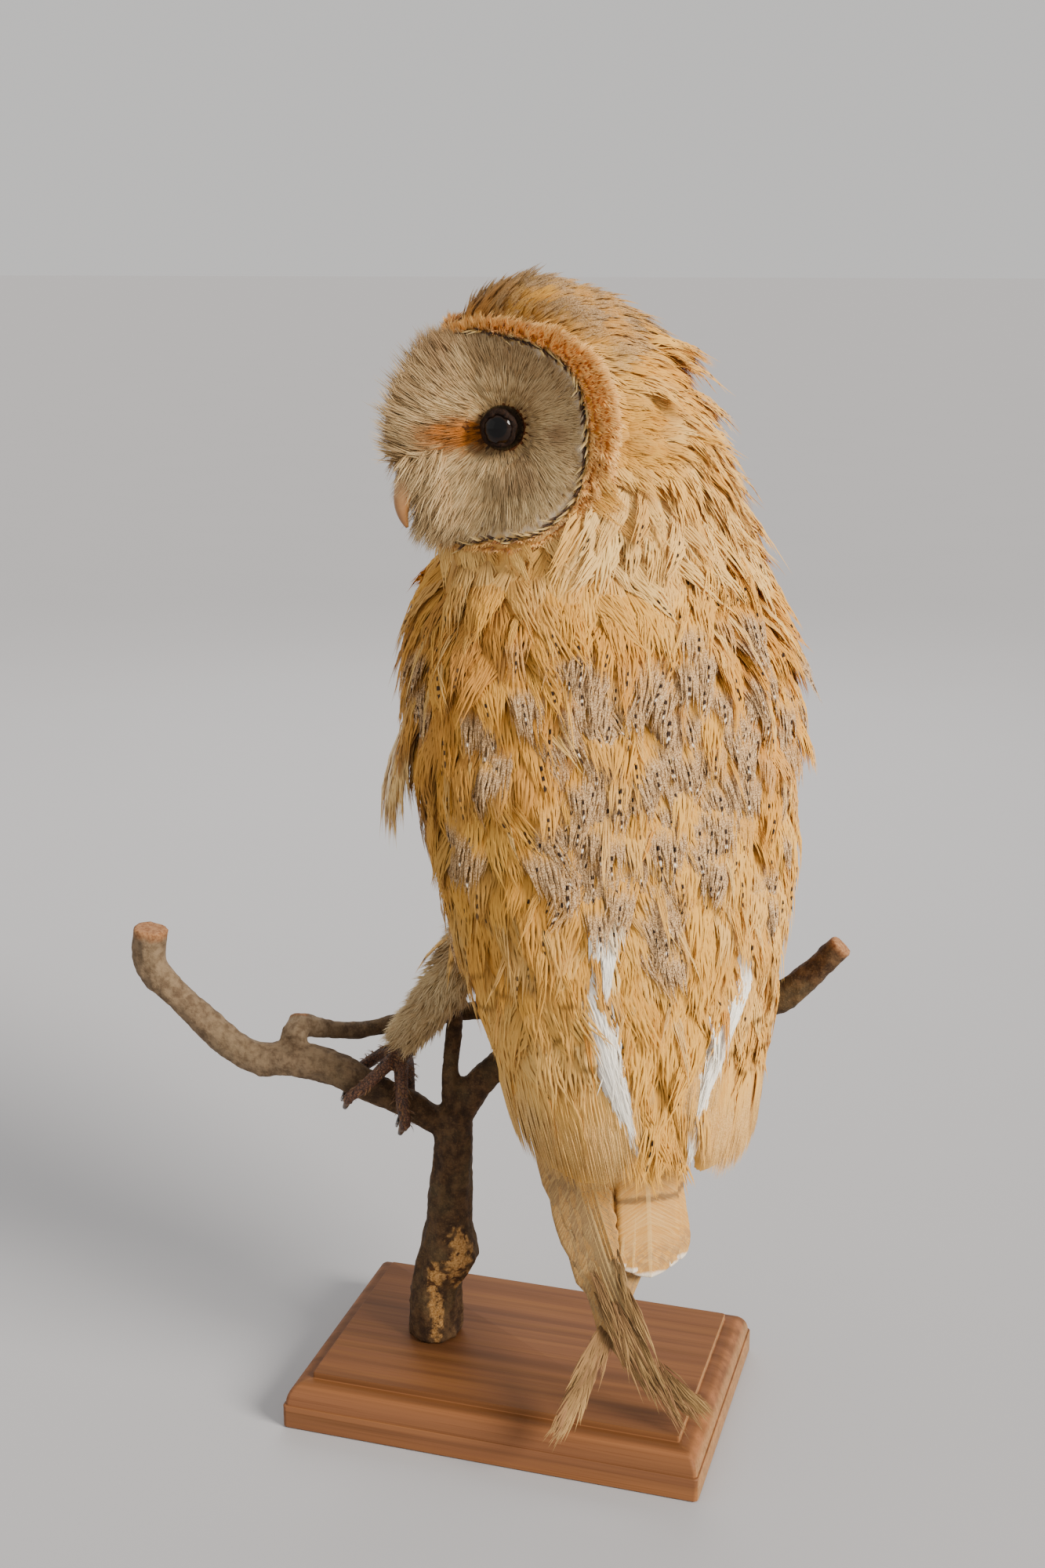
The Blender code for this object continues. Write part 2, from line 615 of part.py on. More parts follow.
def main():
    for obj in list(bpy.data.objects):
        bpy.data.objects.remove(obj)
    scene = bpy.context.scene.collection
    collection = bpy.data.collections.new("mounted_barn_owl")
    cutters = bpy.data.collections.new("cutters")
    scene.children.link(collection)
    scene.children.link(cutters)
    finish = finishes()

    owl = bpy.data.objects.new("owl_frame", None)
    owl.location = OWL_PLACE
    owl.rotation_euler = (0, 0, OWL_TURN)
    collection.objects.link(owl)
    head = bpy.data.objects.new("head_frame", None)
    head.parent = owl
    head.location = HEAD_PLACE
    head.rotation_euler = (0, 0, HEAD_TURN)
    collection.objects.link(head)
    bpy.context.view_layer.update()

    base = build_base(finish["wood"], collection)
    build_branch(finish["bark"], base, collection, cutters)
    feet = {
        "foot_left": build_foot(
            "left", LIMB_LEFT, 0.14, 16.5 * MM, finish["toe"], finish["claw"], collection, cutters
        ),
        "foot_right": build_foot(
            "right", LIMB_RIGHT, 0.555, 13.5 * MM, finish["toe"], finish["claw"], collection, cutters
        ),
    }
    skull = build_head(finish, head, collection, cutters)
    plates = build_wings(finish["plumage"], owl, collection)
    build_body(finish, owl, collection, cutters, skull, plates, feet)
    build_eyes(finish["eye"], head, collection, cutters, skull)


main()
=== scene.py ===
"""Looks of a mounted barn owl: skin, plumage, eyes, bill, feet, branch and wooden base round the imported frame.

Lengths in the tables are millimetres and MM turns them into metres. The owl and its head have frames of their
own, in which -Y is forwards and +X is left, as their solids have.
"""

import logging
import math
from dataclasses import dataclass, field
from enum import Enum
from typing import Any, Iterable, Sequence

import bmesh
import bpy
import numpy as np
from mathutils import Matrix, Vector, noise
from mathutils.bvhtree import BVHTree


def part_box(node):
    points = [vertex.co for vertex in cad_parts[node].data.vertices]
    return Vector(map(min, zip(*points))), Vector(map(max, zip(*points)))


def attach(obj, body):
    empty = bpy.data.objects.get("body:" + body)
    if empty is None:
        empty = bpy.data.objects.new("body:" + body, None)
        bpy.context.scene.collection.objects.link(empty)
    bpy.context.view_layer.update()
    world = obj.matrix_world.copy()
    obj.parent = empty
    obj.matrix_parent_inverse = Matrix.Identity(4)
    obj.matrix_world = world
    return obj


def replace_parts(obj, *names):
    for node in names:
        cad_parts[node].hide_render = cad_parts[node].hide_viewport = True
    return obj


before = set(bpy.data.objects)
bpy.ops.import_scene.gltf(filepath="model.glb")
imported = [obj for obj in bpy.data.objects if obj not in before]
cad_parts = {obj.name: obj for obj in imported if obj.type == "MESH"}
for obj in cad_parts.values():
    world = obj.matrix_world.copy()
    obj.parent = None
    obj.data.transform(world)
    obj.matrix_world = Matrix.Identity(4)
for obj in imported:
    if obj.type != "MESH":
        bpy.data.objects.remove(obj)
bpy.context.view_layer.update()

MM = 0.001
LOG = logging.getLogger("owl")
Array = np.ndarray
Socket = Any
Material, Mesh, Piece = bpy.types.Material, bpy.types.Mesh, bpy.types.Object
Rows = tuple[tuple[float, ...], ...]

OWL = Matrix.Translation(Vector((-24.4, -12.6, 0)) * MM) @ Matrix.Rotation(math.radians(32.8), 4, "Z")
HEAD = OWL @ Matrix.Translation(Vector((18.4, -20.9, 335)) * MM) @ Matrix.Rotation(math.radians(102), 4, "Z")
HEAD_HEART = np.array((0.0, -3.0, 0.0))
# height, then the middle's x and y, in mm
BODY_AXIS = (
    (100, 0, 32), (123, -1, 26), (147, -1.2, 20), (172, -0.5, 14), (197, 0, 8), (221, 0, 1), (246, -1, -7),
    (271, -2, -15), (297, -2, -23), (323, 3, -22), (347, 6, -20), (366, 9, -18),
)
# height, and the degrees from the left side at which the wing's front edge stands
WING_FRONT = (
    (103, 32), (114, -2), (128, -18), (150, -24), (175, -28), (205, -36), (235, -44), (285, -50), (303, -14),
)
# in the head's frame: the left eye, where the crown's feathers spread from, the heart of the bill's root, and
# the rusty patch between eye and bill
EYE = np.array((17.4, -21.2, 2.0))
GAZE = np.array((0.76, -0.64, 0.08)) / np.linalg.norm((0.76, -0.64, 0.08))
FOREHEAD = np.array((0, -52, 12))
BILL_ROOT, BILL_SPREAD = np.array((0, -36, -14)), np.array((1.0, 1.0, 1.7))
RUST_X, RUST_Z, RUST_WIDE, RUST_TALL = 12.0, -0.4, 9.0, 6.0


# ---------------------------------------------------------------- numbers and frames


def ramp(values: Array, low: float, high: float) -> Array:
    """Smooth step from 0 at low to 1 at high."""
    t = np.clip((values - low) / (high - low), 0, 1)
    return t * t * (3 - 2 * t)


def moved(points: Array, matrix: Matrix) -> Array:
    """Points in metres, one or many, put through a matrix."""
    m = np.array(matrix)
    return points @ m[:3, :3].T + m[:3, 3]


def turned(vectors: Array, matrix: Matrix) -> Array:
    """Directions, one or many, turned by a matrix."""
    return vectors @ np.array(matrix)[:3, :3].T


def unit(vectors: Array) -> Array:
    """Vectors of length one."""
    return vectors / np.maximum(np.linalg.norm(vectors, axis=-1, keepdims=True), 1e-12)


def flat_on(vectors: Array, normals: Array) -> Array:
    """The part of each vector that lies in the surface, of length one."""
    return unit(vectors - (vectors * normals).sum(-1, keepdims=True) * normals)


def clouds(points: Array, size: float, seed: float = 0.0) -> Array:
    """Smooth noise, about -1 to 1, with lumps of a given size in metres."""
    shift = Vector((seed * 3.7, seed * 1.9, seed * 5.3))
    return np.array([noise.noise(Vector(p) / size + shift) for p in points]) * 1.6


def run_along(points: Array) -> Array:
    """How far each point is along a path."""
    return np.concatenate([[0], np.cumsum(np.linalg.norm(np.diff(points, axis=0), axis=1))])


def body_middle(z: Any) -> tuple[Any, Any]:
    """The body's middle at a height, in the owl's frame, all in mm."""
    heights, x, y = np.array(BODY_AXIS, float).T
    return np.interp(z, heights, x), np.interp(z, heights, y)


def body_angles(points: Array) -> tuple[Array, Array]:
    """Where points are round the body.

    Args:
        points: Places in metres, in the row frame.

    Returns:
        Degrees from its left side towards its back, and height in mm.
    """
    p = moved(points, OWL.inverted()) / MM
    cx, cy = body_middle(p[:, 2])
    return np.degrees(np.arctan2(p[:, 1] - cy, p[:, 0] - cx)), p[:, 2]


def off_spine(az: Array) -> Array:
    """Degrees from the middle of the back, the same on both sides."""
    return np.abs((az - 90 + 180) % 360 - 180)


def head_angles(points: Array) -> tuple[Array, Array, Array, Array]:
    """Where points are round the head.

    Args:
        points: Places in metres, in the row frame.

    Returns:
        Degrees from straight ahead (positive to the left), degrees up, distance in mm, and how far out they are
        on the facial disc, where 1 is its rim.
    """
    p = moved(points, HEAD.inverted()) / MM - HEAD_HEART
    far = np.linalg.norm(p, axis=1)
    az = np.degrees(np.arctan2(p[:, 0], -p[:, 1]))
    el = np.degrees(np.arcsin(np.clip(p[:, 2] / np.maximum(far, 1e-6), -1, 1)))
    return az, el, far, disc_reach(az, el)


def disc_tall(az: Array, el: Array) -> Array:
    """How many degrees the heart-shaped disc reaches up or down."""
    return np.where(el > 0, 52 - 8 * np.exp(-((az / 13) ** 2)), 50 - 3 * np.exp(-((az / 12) ** 2)))


def disc_reach(az: Array, el: Array) -> Array:
    """How far out a direction is on the heart-shaped disc, where 1 is its rim."""
    return ((np.abs(az) / 90) ** 3 + (np.abs(el) / disc_tall(az, el)) ** 3) ** (1 / 3)


def eye_frame(side: "Side") -> tuple[Array, Array, Array, Array]:
    """An eye's place and axes, in the head's frame in mm.

    Args:
        side: Which of the bird's sides.

    Returns:
        Its centre, and its gaze, across and up directions.
    """
    flip = np.array((side.value, 1, 1))
    gaze = GAZE * flip
    across = unit(np.cross(np.array((0, 0, 1.0)), gaze))
    return EYE * flip, gaze, across, np.cross(gaze, across)


def round_eye(p: Array) -> tuple[Array, Array]:
    """How places lie round the nearer eye, in the head's frame in mm.

    Args:
        p: The places.

    Returns:
        Each place from the centre of the eye, and how far it is from the gaze.
    """
    flip = np.stack([np.where(p[:, 0] >= 0, 1.0, -1.0), np.ones(len(p)), np.ones(len(p))], 1)
    rel, gaze = p - EYE * flip, GAZE * flip
    return rel, np.linalg.norm(rel - (rel * gaze).sum(1)[:, None] * gaze, axis=1)


def from_bill(p: Array) -> Array:
    """How far places in the head's frame are from the bill's root, in mm."""
    return np.linalg.norm((p - BILL_ROOT) / BILL_SPREAD, axis=1)


def rusty(tips: Array, side: Array, chance: np.random.Generator) -> Array:
    """The share of rust at the tips of hairs near an eye, in the head's frame in mm."""
    spread = np.hypot((tips[:, 0] * side - RUST_X) / RUST_WIDE, (tips[:, 2] - RUST_Z) / RUST_TALL)
    return 1 - ramp(spread + 0.12 * chance.normal(0, 1, len(tips)), 0.45, 1.3)


def linear(code: str) -> tuple[float, float, float, float]:
    """A colour from its six-letter code."""
    parts = [int(code[i:i + 2], 16) / 255 for i in (0, 2, 4)]
    return (*[c / 12.92 if c <= 0.04045 else ((c + 0.055) / 1.055) ** 2.4 for c in parts], 1.0)


# ---------------------------------------------------------------- meshes


def mesh_object(name: str, verts: Array, faces: Iterable[Sequence[int]], smooth: bool = True) -> Piece:
    """A mesh object at the origin.

    Args:
        name: What to call it.
        verts: Its points.
        faces: Its faces.
        smooth: Whether its faces are shaded smooth.

    Returns:
        The object.
    """
    mesh = bpy.data.meshes.new(name)
    mesh.from_pydata([tuple(v) for v in verts], [], [tuple(f) for f in faces])
    mesh.validate()
    mesh.shade_smooth() if smooth else mesh.shade_flat()
    return linked(name, mesh)


def linked(name: str, data: Any) -> Piece:
    """A new object in the scene.

    Args:
        name: What to call it.
        data: Its mesh, lamp or camera.

    Returns:
        The object.
    """
    piece = bpy.data.objects.new(name, data)
    bpy.context.scene.collection.objects.link(piece)
    return piece


def evaluated(piece: Piece) -> Mesh:
    """The mesh that an object's modifiers make, with the modifiers taken off.

    Args:
        piece: The object.

    Returns:
        The mesh.
    """
    bpy.context.view_layer.update()
    graph = bpy.context.evaluated_depsgraph_get()
    mesh = bpy.data.meshes.new_from_object(piece.evaluated_get(graph))
    piece.modifiers.clear()
    return mesh


def coordinates(mesh: Mesh) -> Array:
    """The places of a mesh's vertices.

    Args:
        mesh: The mesh.

    Returns:
        The places, one in each row.
    """
    co = np.empty(len(mesh.vertices) * 3, np.float32)
    mesh.vertices.foreach_get("co", co)
    return co.reshape(-1, 3).astype(float)


def vertex_normals(mesh: Mesh) -> Array:
    """The normals of a mesh's vertices.

    Args:
        mesh: The mesh.

    Returns:
        The normals, one in each row.
    """
    co = np.empty(len(mesh.vertices) * 3, np.float32)
    mesh.vertices.foreach_get("normal", co)
    return co.reshape(-1, 3).astype(float)


def place(mesh: Mesh, co: Array) -> None:
    """Moves a mesh's vertices."""
    mesh.vertices.foreach_set("co", co.astype(np.float32).ravel())
    mesh.update()


def store(mesh: Mesh, name: str, values: Array) -> None:
    """Keeps a number at each vertex, for the materials."""
    layer = mesh.attributes.get(name) or mesh.attributes.new(name, "FLOAT", "POINT")
    layer.data.foreach_set("value", np.asarray(values, np.float32))


def faced_out(mesh: Mesh) -> None:
    """Turns every face outwards.

    Args:
        mesh: The mesh.
    """
    work = bmesh.new()
    work.from_mesh(mesh)
    bmesh.ops.recalc_face_normals(work, faces=work.faces)
    work.to_mesh(mesh)
    work.free()


def joined_copy(nodes: Sequence[str], grow: float) -> Mesh:
    """Solids of the frame as one mesh, each swollen a little so that they run into one another.

    Args:
        nodes: Names of the frame's solids.
        grow: How far each is swollen, in metres.

    Returns:
        One mesh in the row frame.
    """
    whole = bmesh.new()
    for name in nodes:
        part = bmesh.new()
        part.from_mesh(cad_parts[name].data)
        bmesh.ops.remove_doubles(part, verts=part.verts, dist=1e-6)
        bmesh.ops.recalc_face_normals(part, faces=part.faces)
        part.normal_update()
        for v in part.verts:
            v.co += v.normal * grow
        spare = bpy.data.meshes.new("spare")
        part.to_mesh(spare)
        part.free()
        whole.from_mesh(spare)
        bpy.data.meshes.remove(spare)
    mesh = bpy.data.meshes.new("joined")
    whole.to_mesh(mesh)
    whole.free()
    return mesh


def largest_shell(mesh: Mesh) -> None:
    """Removes every loose shell but the largest.

    Args:
        mesh: The mesh.
    """
    work = bmesh.new()
    work.from_mesh(mesh)
    seen: set[Any] = set()
    shells = []
    for start in work.verts:
        if start in seen:
            continue
        shell, queue = [], [start]
        seen.add(start)
        while queue:
            v = queue.pop()
            shell.append(v)
            for e in v.link_edges:
                w = e.other_vert(v)
                if w not in seen:
                    seen.add(w)
                    queue.append(w)
        shells.append(shell)
    shells.sort(key=len)
    bmesh.ops.delete(work, geom=[v for shell in shells[:-1] for v in shell], context="VERTS")
    work.to_mesh(mesh)
    work.free()


def remeshed(name: str, mesh: Mesh, voxel: float, rounds: int) -> Piece:
    """One even closed skin round a joined mesh, smoothed.

    Args:
        name: What to call it.
        mesh: The mesh.
        voxel: The grid's step, in metres.
        rounds: Rounds of smoothing.

    Returns:
        The piece.
    """
    piece = linked(name, mesh)
    grid = piece.modifiers.new("grid", "REMESH")
    grid.mode = "VOXEL"
    grid.voxel_size = voxel
    piece.data = evaluated(piece)
    largest_shell(piece.data)
    soft = piece.modifiers.new("soft", "SMOOTH")
    soft.factor = 0.5
    soft.iterations = rounds
    piece.data = evaluated(piece)
    piece.data.shade_smooth()
    return piece


def joined_rings(rings: int, sides: int, closed: bool = False) -> list[tuple[int, int, int, int]]:
    """Faces between rings of points, each with as many sides.

    Args:
        rings: How many rings there are.
        sides: Points in each.
        closed: Whether the last ring joins the first.

    Returns:
        The faces.
    """
    faces = []
    for i in range(rings if closed else rings - 1):
        for k in range(sides):
            a, b = i * sides + k, i * sides + (k + 1) % sides
            c, d = ((i + 1) % rings * sides + v % sides for v in (b, a))
            faces.append((a, b, c, d))
    return faces


def tube(rows: Array, radii: Array, sides: int, squash: float = 1.0,
        across: Vector | None = None) -> tuple[list, list]:
    """A closed tube through points.

    Args:
        rows: Points along its heart, in metres.
        radii: Its radius at each.
        sides: Sides round it.
        squash: Its width as a share of its depth.
        across: The way its width runs.

    Returns:
        Vertices and faces.
    """
    verts = []
    rows = np.asarray(rows, float)
    ahead = unit(np.gradient(rows, axis=0))
    side = np.array(across if across is not None else (0.31, 0.17, 0.93), float)
    for p, a, r in zip(rows, ahead, radii):
        x = unit(side - (side @ a) * a)
        y = np.cross(a, x)
        for k in range(sides):
            t = 2 * math.pi * k / sides
            verts.append(p + r * (x * math.cos(t) * squash + y * math.sin(t)))
    faces = joined_rings(len(rows), sides)
    faces.append(tuple(reversed(range(sides))))
    faces.append(tuple(range((len(rows) - 1) * sides, len(rows) * sides)))
    return verts, faces


# ---------------------------------------------------------------- materials


class Wire:
    """A node's output, which can be reckoned with like a number."""

    def __init__(self, shader: "Shader", socket: Socket) -> None:
        """Keeps the output and the material that it is in."""
        self.shader, self.socket = shader, socket

    def clamped(self) -> "Wire":
        """The same, kept between 0 and 1."""
        self.socket.node.use_clamp = True
        return self

    def __abs__(self) -> "Wire":
        """Its size without its sign."""
        return self.shader.sum("ABSOLUTE", self, 0.0)

    def __mul__(self, other: Any) -> "Wire":
        """The product."""
        return self.shader.sum("MULTIPLY", self, other)

    def __add__(self, other: Any) -> "Wire":
        """The sum."""
        return self.shader.sum("ADD", self, other)

    def __sub__(self, other: Any) -> "Wire":
        """The difference."""
        return self.shader.sum("SUBTRACT", self, other)

    def __rsub__(self, other: float) -> "Wire":
        """A number less this."""
        return self.shader.sum("SUBTRACT", other, self)

    def __lt__(self, other: Any) -> "Wire":
        """One where this is the smaller."""
        return self.shader.sum("LESS_THAN", self, other)

    def __gt__(self, other: Any) -> "Wire":
        """One where this is the larger."""
        return self.shader.sum("GREATER_THAN", self, other)

    def __or__(self, other: Any) -> "Wire":
        """The larger of the two."""
        return self.shader.sum("MAXIMUM", self, other)


class Shader:
    """A node material made step by step round one Principled shader."""

    def __init__(self, name: str, roughness: float, **sockets: float) -> None:
        """Starts a material; sockets are uniform values by socket name, with _ for a space.

        Args:
            name: What to call it.
            roughness: The shader's roughness.
            sockets: Settings by name.
        """
        self.material = bpy.data.materials.new(name)
        self.material.use_nodes = True
        self.tree = self.material.node_tree
        self.core = self.tree.nodes["Principled BSDF"]
        for key, value in {"Roughness": roughness, **sockets}.items():
            self.core.inputs[key.replace("_", " ")].default_value = value

    def feed(self, socket: Socket, source: Any) -> None:
        """Links an output into a socket, or sets a number or a colour's code on it.

        Args:
            socket: Where it goes.
            source: An output, a number or a colour's code.
        """
        source = source.socket if isinstance(source, Wire) else source
        if isinstance(source, bpy.types.NodeSocket):
            self.tree.links.new(source, socket)
        else:
            socket.default_value = linear(source) if isinstance(source, str) else source

    def node(self, kind: str, feeds: dict[Any, Any] | None = None, **settings: Any) -> Any:
        """A new node with some of its settings and what goes into it.

        Args:
            kind: The node's type.
            feeds: What goes into each of its inputs.
            settings: Settings by name.

        Returns:
            The node.
        """
        made = self.tree.nodes.new(kind)
        for key, value in settings.items():
            setattr(made, key, value)
        for key, source in (feeds or {}).items():
            self.feed(made.inputs[key], source)
        return made

    def mark(self, name: str) -> Wire:
        """A number kept on the mesh."""
        return Wire(self, self.node("ShaderNodeAttribute", attribute_name=name).outputs["Fac"])

    def sum(self, operation: str, first: Any, second: Any) -> Wire:
        """One step of arithmetic."""
        return Wire(self, self.node("ShaderNodeMath", {0: first, 1: second}, operation=operation).outputs[0])

    def step(self, value: Any, low: float, high: float) -> Wire:
        """A smooth step between two values.

        Args:
            value: What is stepped.
            low: Where the step starts.
            high: Where it ends.

        Returns:
            The step, from 0 to 1.
        """
        feeds = {"Value": value, "From Min": low, "From Max": high}
        made = self.node("ShaderNodeMapRange", feeds, interpolation_type="SMOOTHSTEP")
        return Wire(self, made.outputs["Result"])

    def window(self, value: Any, low: float, high: float, soft: float) -> Wire:
        """One between two values and nothing outside them."""
        return self.step(value, low - soft, low + soft) - self.step(value, high - soft, high + soft)

    def mix(self, share: Any, first: Any, second: Any) -> Wire:
        """A blend of two colours."""
        made = self.node("ShaderNodeMix", {0: share, 6: first, 7: second}, data_type="RGBA")
        return Wire(self, made.outputs[2])

    def place(self, scale: Sequence[float] = (1, 1, 1)) -> Wire:
        """Places on the piece, stretched."""
        own = self.node("ShaderNodeTexCoord").outputs["Object"]
        return Wire(self, self.node("ShaderNodeMapping", {"Scale": scale, "Vector": own}).outputs["Vector"])

    def spot(self, x: Any, y: Any, z: Any) -> Wire:
        """A place made of three numbers."""
        return Wire(self, self.node("ShaderNodeCombineXYZ", {0: x, 1: y, 2: z}).outputs[0])

    def clouds(self, scale: float, detail: float = 3.0, rough: float = 0.6, warp: float = 0.0,
               where: Wire | None = None) -> Wire:
        """Noise at a place, or at every place on the piece.

        Args:
            scale: How fine the noise is.
            detail: How many finer layers it has.
            rough: How strong those are.
            warp: How far it is distorted.
            where: The place, or none for places on the piece.

        Returns:
            The noise, from 0 to 1.
        """
        feeds = {"Vector": where or self.place(), "Scale": scale, "Detail": detail, "Roughness": rough,
            "Distortion": warp}
        return Wire(self, self.node("ShaderNodeTexNoise", feeds).outputs["Fac"])

    def facing(self) -> list[Wire]:
        """The three parts of the way that the surface faces."""
        normal = self.node("ShaderNodeNewGeometry").outputs["Normal"]
        return [Wire(self, out) for out in self.node("ShaderNodeSeparateXYZ", {0: normal}).outputs]

    def relief(self, height: Wire, strength: float, distance: float) -> None:
        """Fine relief on the surface."""
        made = self.node("ShaderNodeBump", {"Strength": strength, "Distance": distance, "Height": height})
        self.feed(self.core.inputs["Normal"], made.outputs["Normal"])

    def colour(self, source: Any) -> Material:
        """Sets the base colour and gives the finished material."""
        self.feed(self.core.inputs["Base Color"], source)
        return self.material


@dataclass(frozen=True)
class PlumageFinish:
    """Soft body plumage: ochre, cream, grey-lilac vermiculation, and a dark drop with a white one beyond it."""

    deep: str = "A05E18"
    ochre: str = "D5912B"
    light: str = "F2C262"
    warm: str = "C97518"
    cream: str = "F1CC82"
    white: str = "FAF3E4"
    grey_dark: str = "80603F"
    grey_light: str = "D6B080"
    drop: str = "33241A"

    def make(self, name: str) -> Material:
        """The material.

        Args:
            name: What to call it.

        Returns:
            The material.
        """
        s = Shader(name, 0.8, Specular_IOR_Level=0.15, Sheen_Weight=0.04, Sheen_Roughness=0.5)
        along, across, own = s.mark("along"), s.mark("across"), s.mark("shade")
        grain = s.clouds(900, 4)
        streak = s.clouds(1.6, 4, where=s.spot(across * 8.0, along * 1.6, own * 40.0))
        tone = (own * 0.34 + streak * 0.95).clamped()
        base = s.mix(0.42, s.mix(tone, self.deep, self.light), self.ochre)
        base = s.mix(s.mark("warm") * 0.75, base, s.mix(tone, "8E4F1B", self.warm))
        pale = s.mix(s.step(s.mark("pale"), 0.6, 1.0), s.mix(tone, "D3A560", self.cream), self.white)
        base = s.mix(s.step(s.mark("pale"), 0.0, 0.75), base, pale)
        # grey ends with fine flecks
        lilac = s.mix(s.step(s.clouds(2600, 2, 0.5), 0.38, 0.62), self.grey_dark, self.grey_light)
        lilac = s.mix(s.step(grain, 0.55, 0.75), lilac, "D2B892")
        off = abs(across)
        reach = s.mark("grey") * s.step(along + streak * 0.35, 0.55, 0.8)
        inner = 1.0 - s.step(off + streak * 0.5, 0.85, 1.15)
        base = s.mix(reach * inner, base, lilac)
        # a soft bar near the tip
        smudge = s.window(along + streak * 0.08, 0.80, 0.87, 0.03) * (1.0 - s.step(off, 0.3, 0.75))
        base = s.mix(smudge * s.mark("bar") * 0.65, base, "5E3A18")
        # dark drops along the shaft, with a white one between them
        size = s.mark("speck")
        shown = (off < size * 0.085) * (size > 0.05)
        drops = s.window(along, 0.65, 0.71, 0.01) | s.window(along, 0.77, 0.83, 0.01)
        drops = drops | s.window(along, 0.88, 0.93, 0.01)
        base = s.mix(shown * drops, base, self.drop)
        base = s.mix(shown * (s.mark("grey") * 0.6 * s.window(along, 0.84, 0.87, 0.01)), base, self.white)
        # painted shade: darker over the top of the crown and down the bird's left flank
        base = s.mix(s.mark("dusk"), base, "7E5F3A")
        base = s.mix(s.mark("bare"), base, s.mix(streak, "241509", "6B3A12"))
        s.relief(s.clouds(3.0, 3, where=s.spot(across * 9.0, along, own * 40.0)), 0.35, 0.0004)
        return s.colour(base)


@dataclass(frozen=True)
class HairFinish:
    """Fine hair-like feathers in one run of colours, from the root to the tip."""

    root: str
    tip: str
    dark: str
    spread: float = 0.5

    def make(self, name: str) -> Material:
        """The material.

        Args:
            name: What to call it.

        Returns:
            The material.
        """
        s = Shader(name, 0.75, Specular_IOR_Level=0.25, Sheen_Weight=0.15, Sheen_Roughness=0.45)
        base = s.mix(s.step(s.mark("along"), 0.05, 0.8), self.root, self.tip)
        own = (s.mark("shade") + s.clouds(260, 3)) * (self.spread * 0.6)
        base = s.mix(own.clamped(), base, self.dark)
        base = s.mix(s.mark("rust"), base, s.mix(s.mark("shade"), "B0620C", "703F06"))
        # grime, and on the face painted shade over the bird's right half of the disc
        base = s.mix(s.mark("grime"), base, "8A6440")
        base = s.mix(s.mark("lash") * 0.9, base, "2E1A0C")
        s.relief(s.clouds(1800, 2), 0.25, 0.0002)
        return s.colour(base)


@dataclass(frozen=True)
class FlightFinish:
    """Long feathers: a pale shaft, slanting barbs, an ochre outer vane, and bars and dusting."""

    outer: str = "C28837"
    inner: str = "86663C"
    edge: str = "E5C07C"
    bar: str = "5B4024"
    dust: str = "8A6A48"
    shaft: str = "D6B06C"

    def make(self, name: str) -> Material:
        """The material.

        Args:
            name: What to call it.

        Returns:
            The material.
        """
        s = Shader(name, 0.62, Specular_IOR_Level=0.35, Sheen_Weight=0.08)
        along, bars, pale, off = s.mark("along"), s.mark("bars"), s.mark("pale"), abs(s.mark("across"))
        slant = s.mark("run") - off * 0.006
        barbs = s.clouds(1500, 3, 0.65, where=s.spot(slant, off * 0.0009, s.mark("shade")))
        mottle = s.clouds(420, 4, 0.7)
        base = s.mix(s.mark("ochre"), s.mix(s.step(barbs, 0.3, 0.7), "7B6244", self.inner), self.outer)
        base = s.mix(s.step(barbs, 0.35, 0.75) * 0.5, base, self.edge)
        base = s.mix(s.step(pale, 0.0, 0.9), base, s.mix(s.step(barbs, 0.2, 0.8), "CF9F55", "EBCB8C"))
        base = s.mix(s.step(pale, 0.8, 1.0), base, "F7F3EA")
        base = s.mix(s.step(s.clouds(1500, 3, 0.7), 0.52, 0.66) * s.mark("dusty"), base, self.dust)
        # the dark bar, the dusting beyond it and the white end
        base = s.mix(bars * s.window(along + mottle * 0.05, 0.52, 0.56, 0.015), base, self.bar)
        soft = bars * (s.window(along, 0.8, 0.95, 0.07) * s.step(mottle, 0.4, 0.56))
        base = s.mix(soft * 0.8, base, self.dust)
        base = s.mix(bars * s.step(along + mottle * 0.03, 0.97, 0.995), base, "F6EEDD")
        base = s.mix(s.mark("frayed") * s.step(barbs, 0.42, 0.6), base, "4E4230")
        base = s.mix((off < 0.07) * 0.45, base, self.shaft)
        s.relief(barbs, 0.5, 0.0005)
        return s.colour(base)


@dataclass(frozen=True)
class WoodFinish:
    """Stained and polished wood with its grain along the base, and painted shade on its top faces."""

    def make(self, name: str) -> Material:
        """The material.

        Args:
            name: What to call it.

        Returns:
            The material.
        """
        s = Shader(name, 0.6, Specular_IOR_Level=0.15)
        grain = s.clouds(1.0, 2, 0.5, where=s.place((3, 200, 200)))
        fine = s.clouds(1.0, 2, 0.5, where=s.place((14, 1500, 1500)))
        broad = s.clouds(1.0, 1, 0.5, where=s.place((3, 40, 40)))
        base = s.mix(s.step(grain, 0.3, 0.7), "62402A", "86583A")
        base = s.mix(s.step(fine, 0.5, 0.75) * 0.35, base, "45240C")
        base = s.mix(s.step(broad, 0.4, 0.7) * 0.25, base, "8E5622")
        endways, _, upwards = s.facing()
        # painted shade: the faces that look up are darkened
        base = s.mix(s.step(upwards, 0.8, 0.98) * 0.5, base, "4A2A10")
        rings = s.clouds(1.0, 3, 0.7, where=s.place((700, 700, 700)))
        end_grain = s.mix(s.step(rings, 0.3, 0.7), "8E6B45", "B08C62")
        base = s.mix(s.step(abs(endways), 0.75, 0.98) * 0.5, base, end_grain)
        wear = s.mark("worn") * s.step(s.clouds(1.0, 2, where=s.place((9, 260, 260))), 0.4, 0.7)
        base = s.mix(wear * 0.22, base, "A87238")
        s.relief(fine * 0.6 + grain * 0.4, 0.25, 0.0004)
        return s.colour(base)


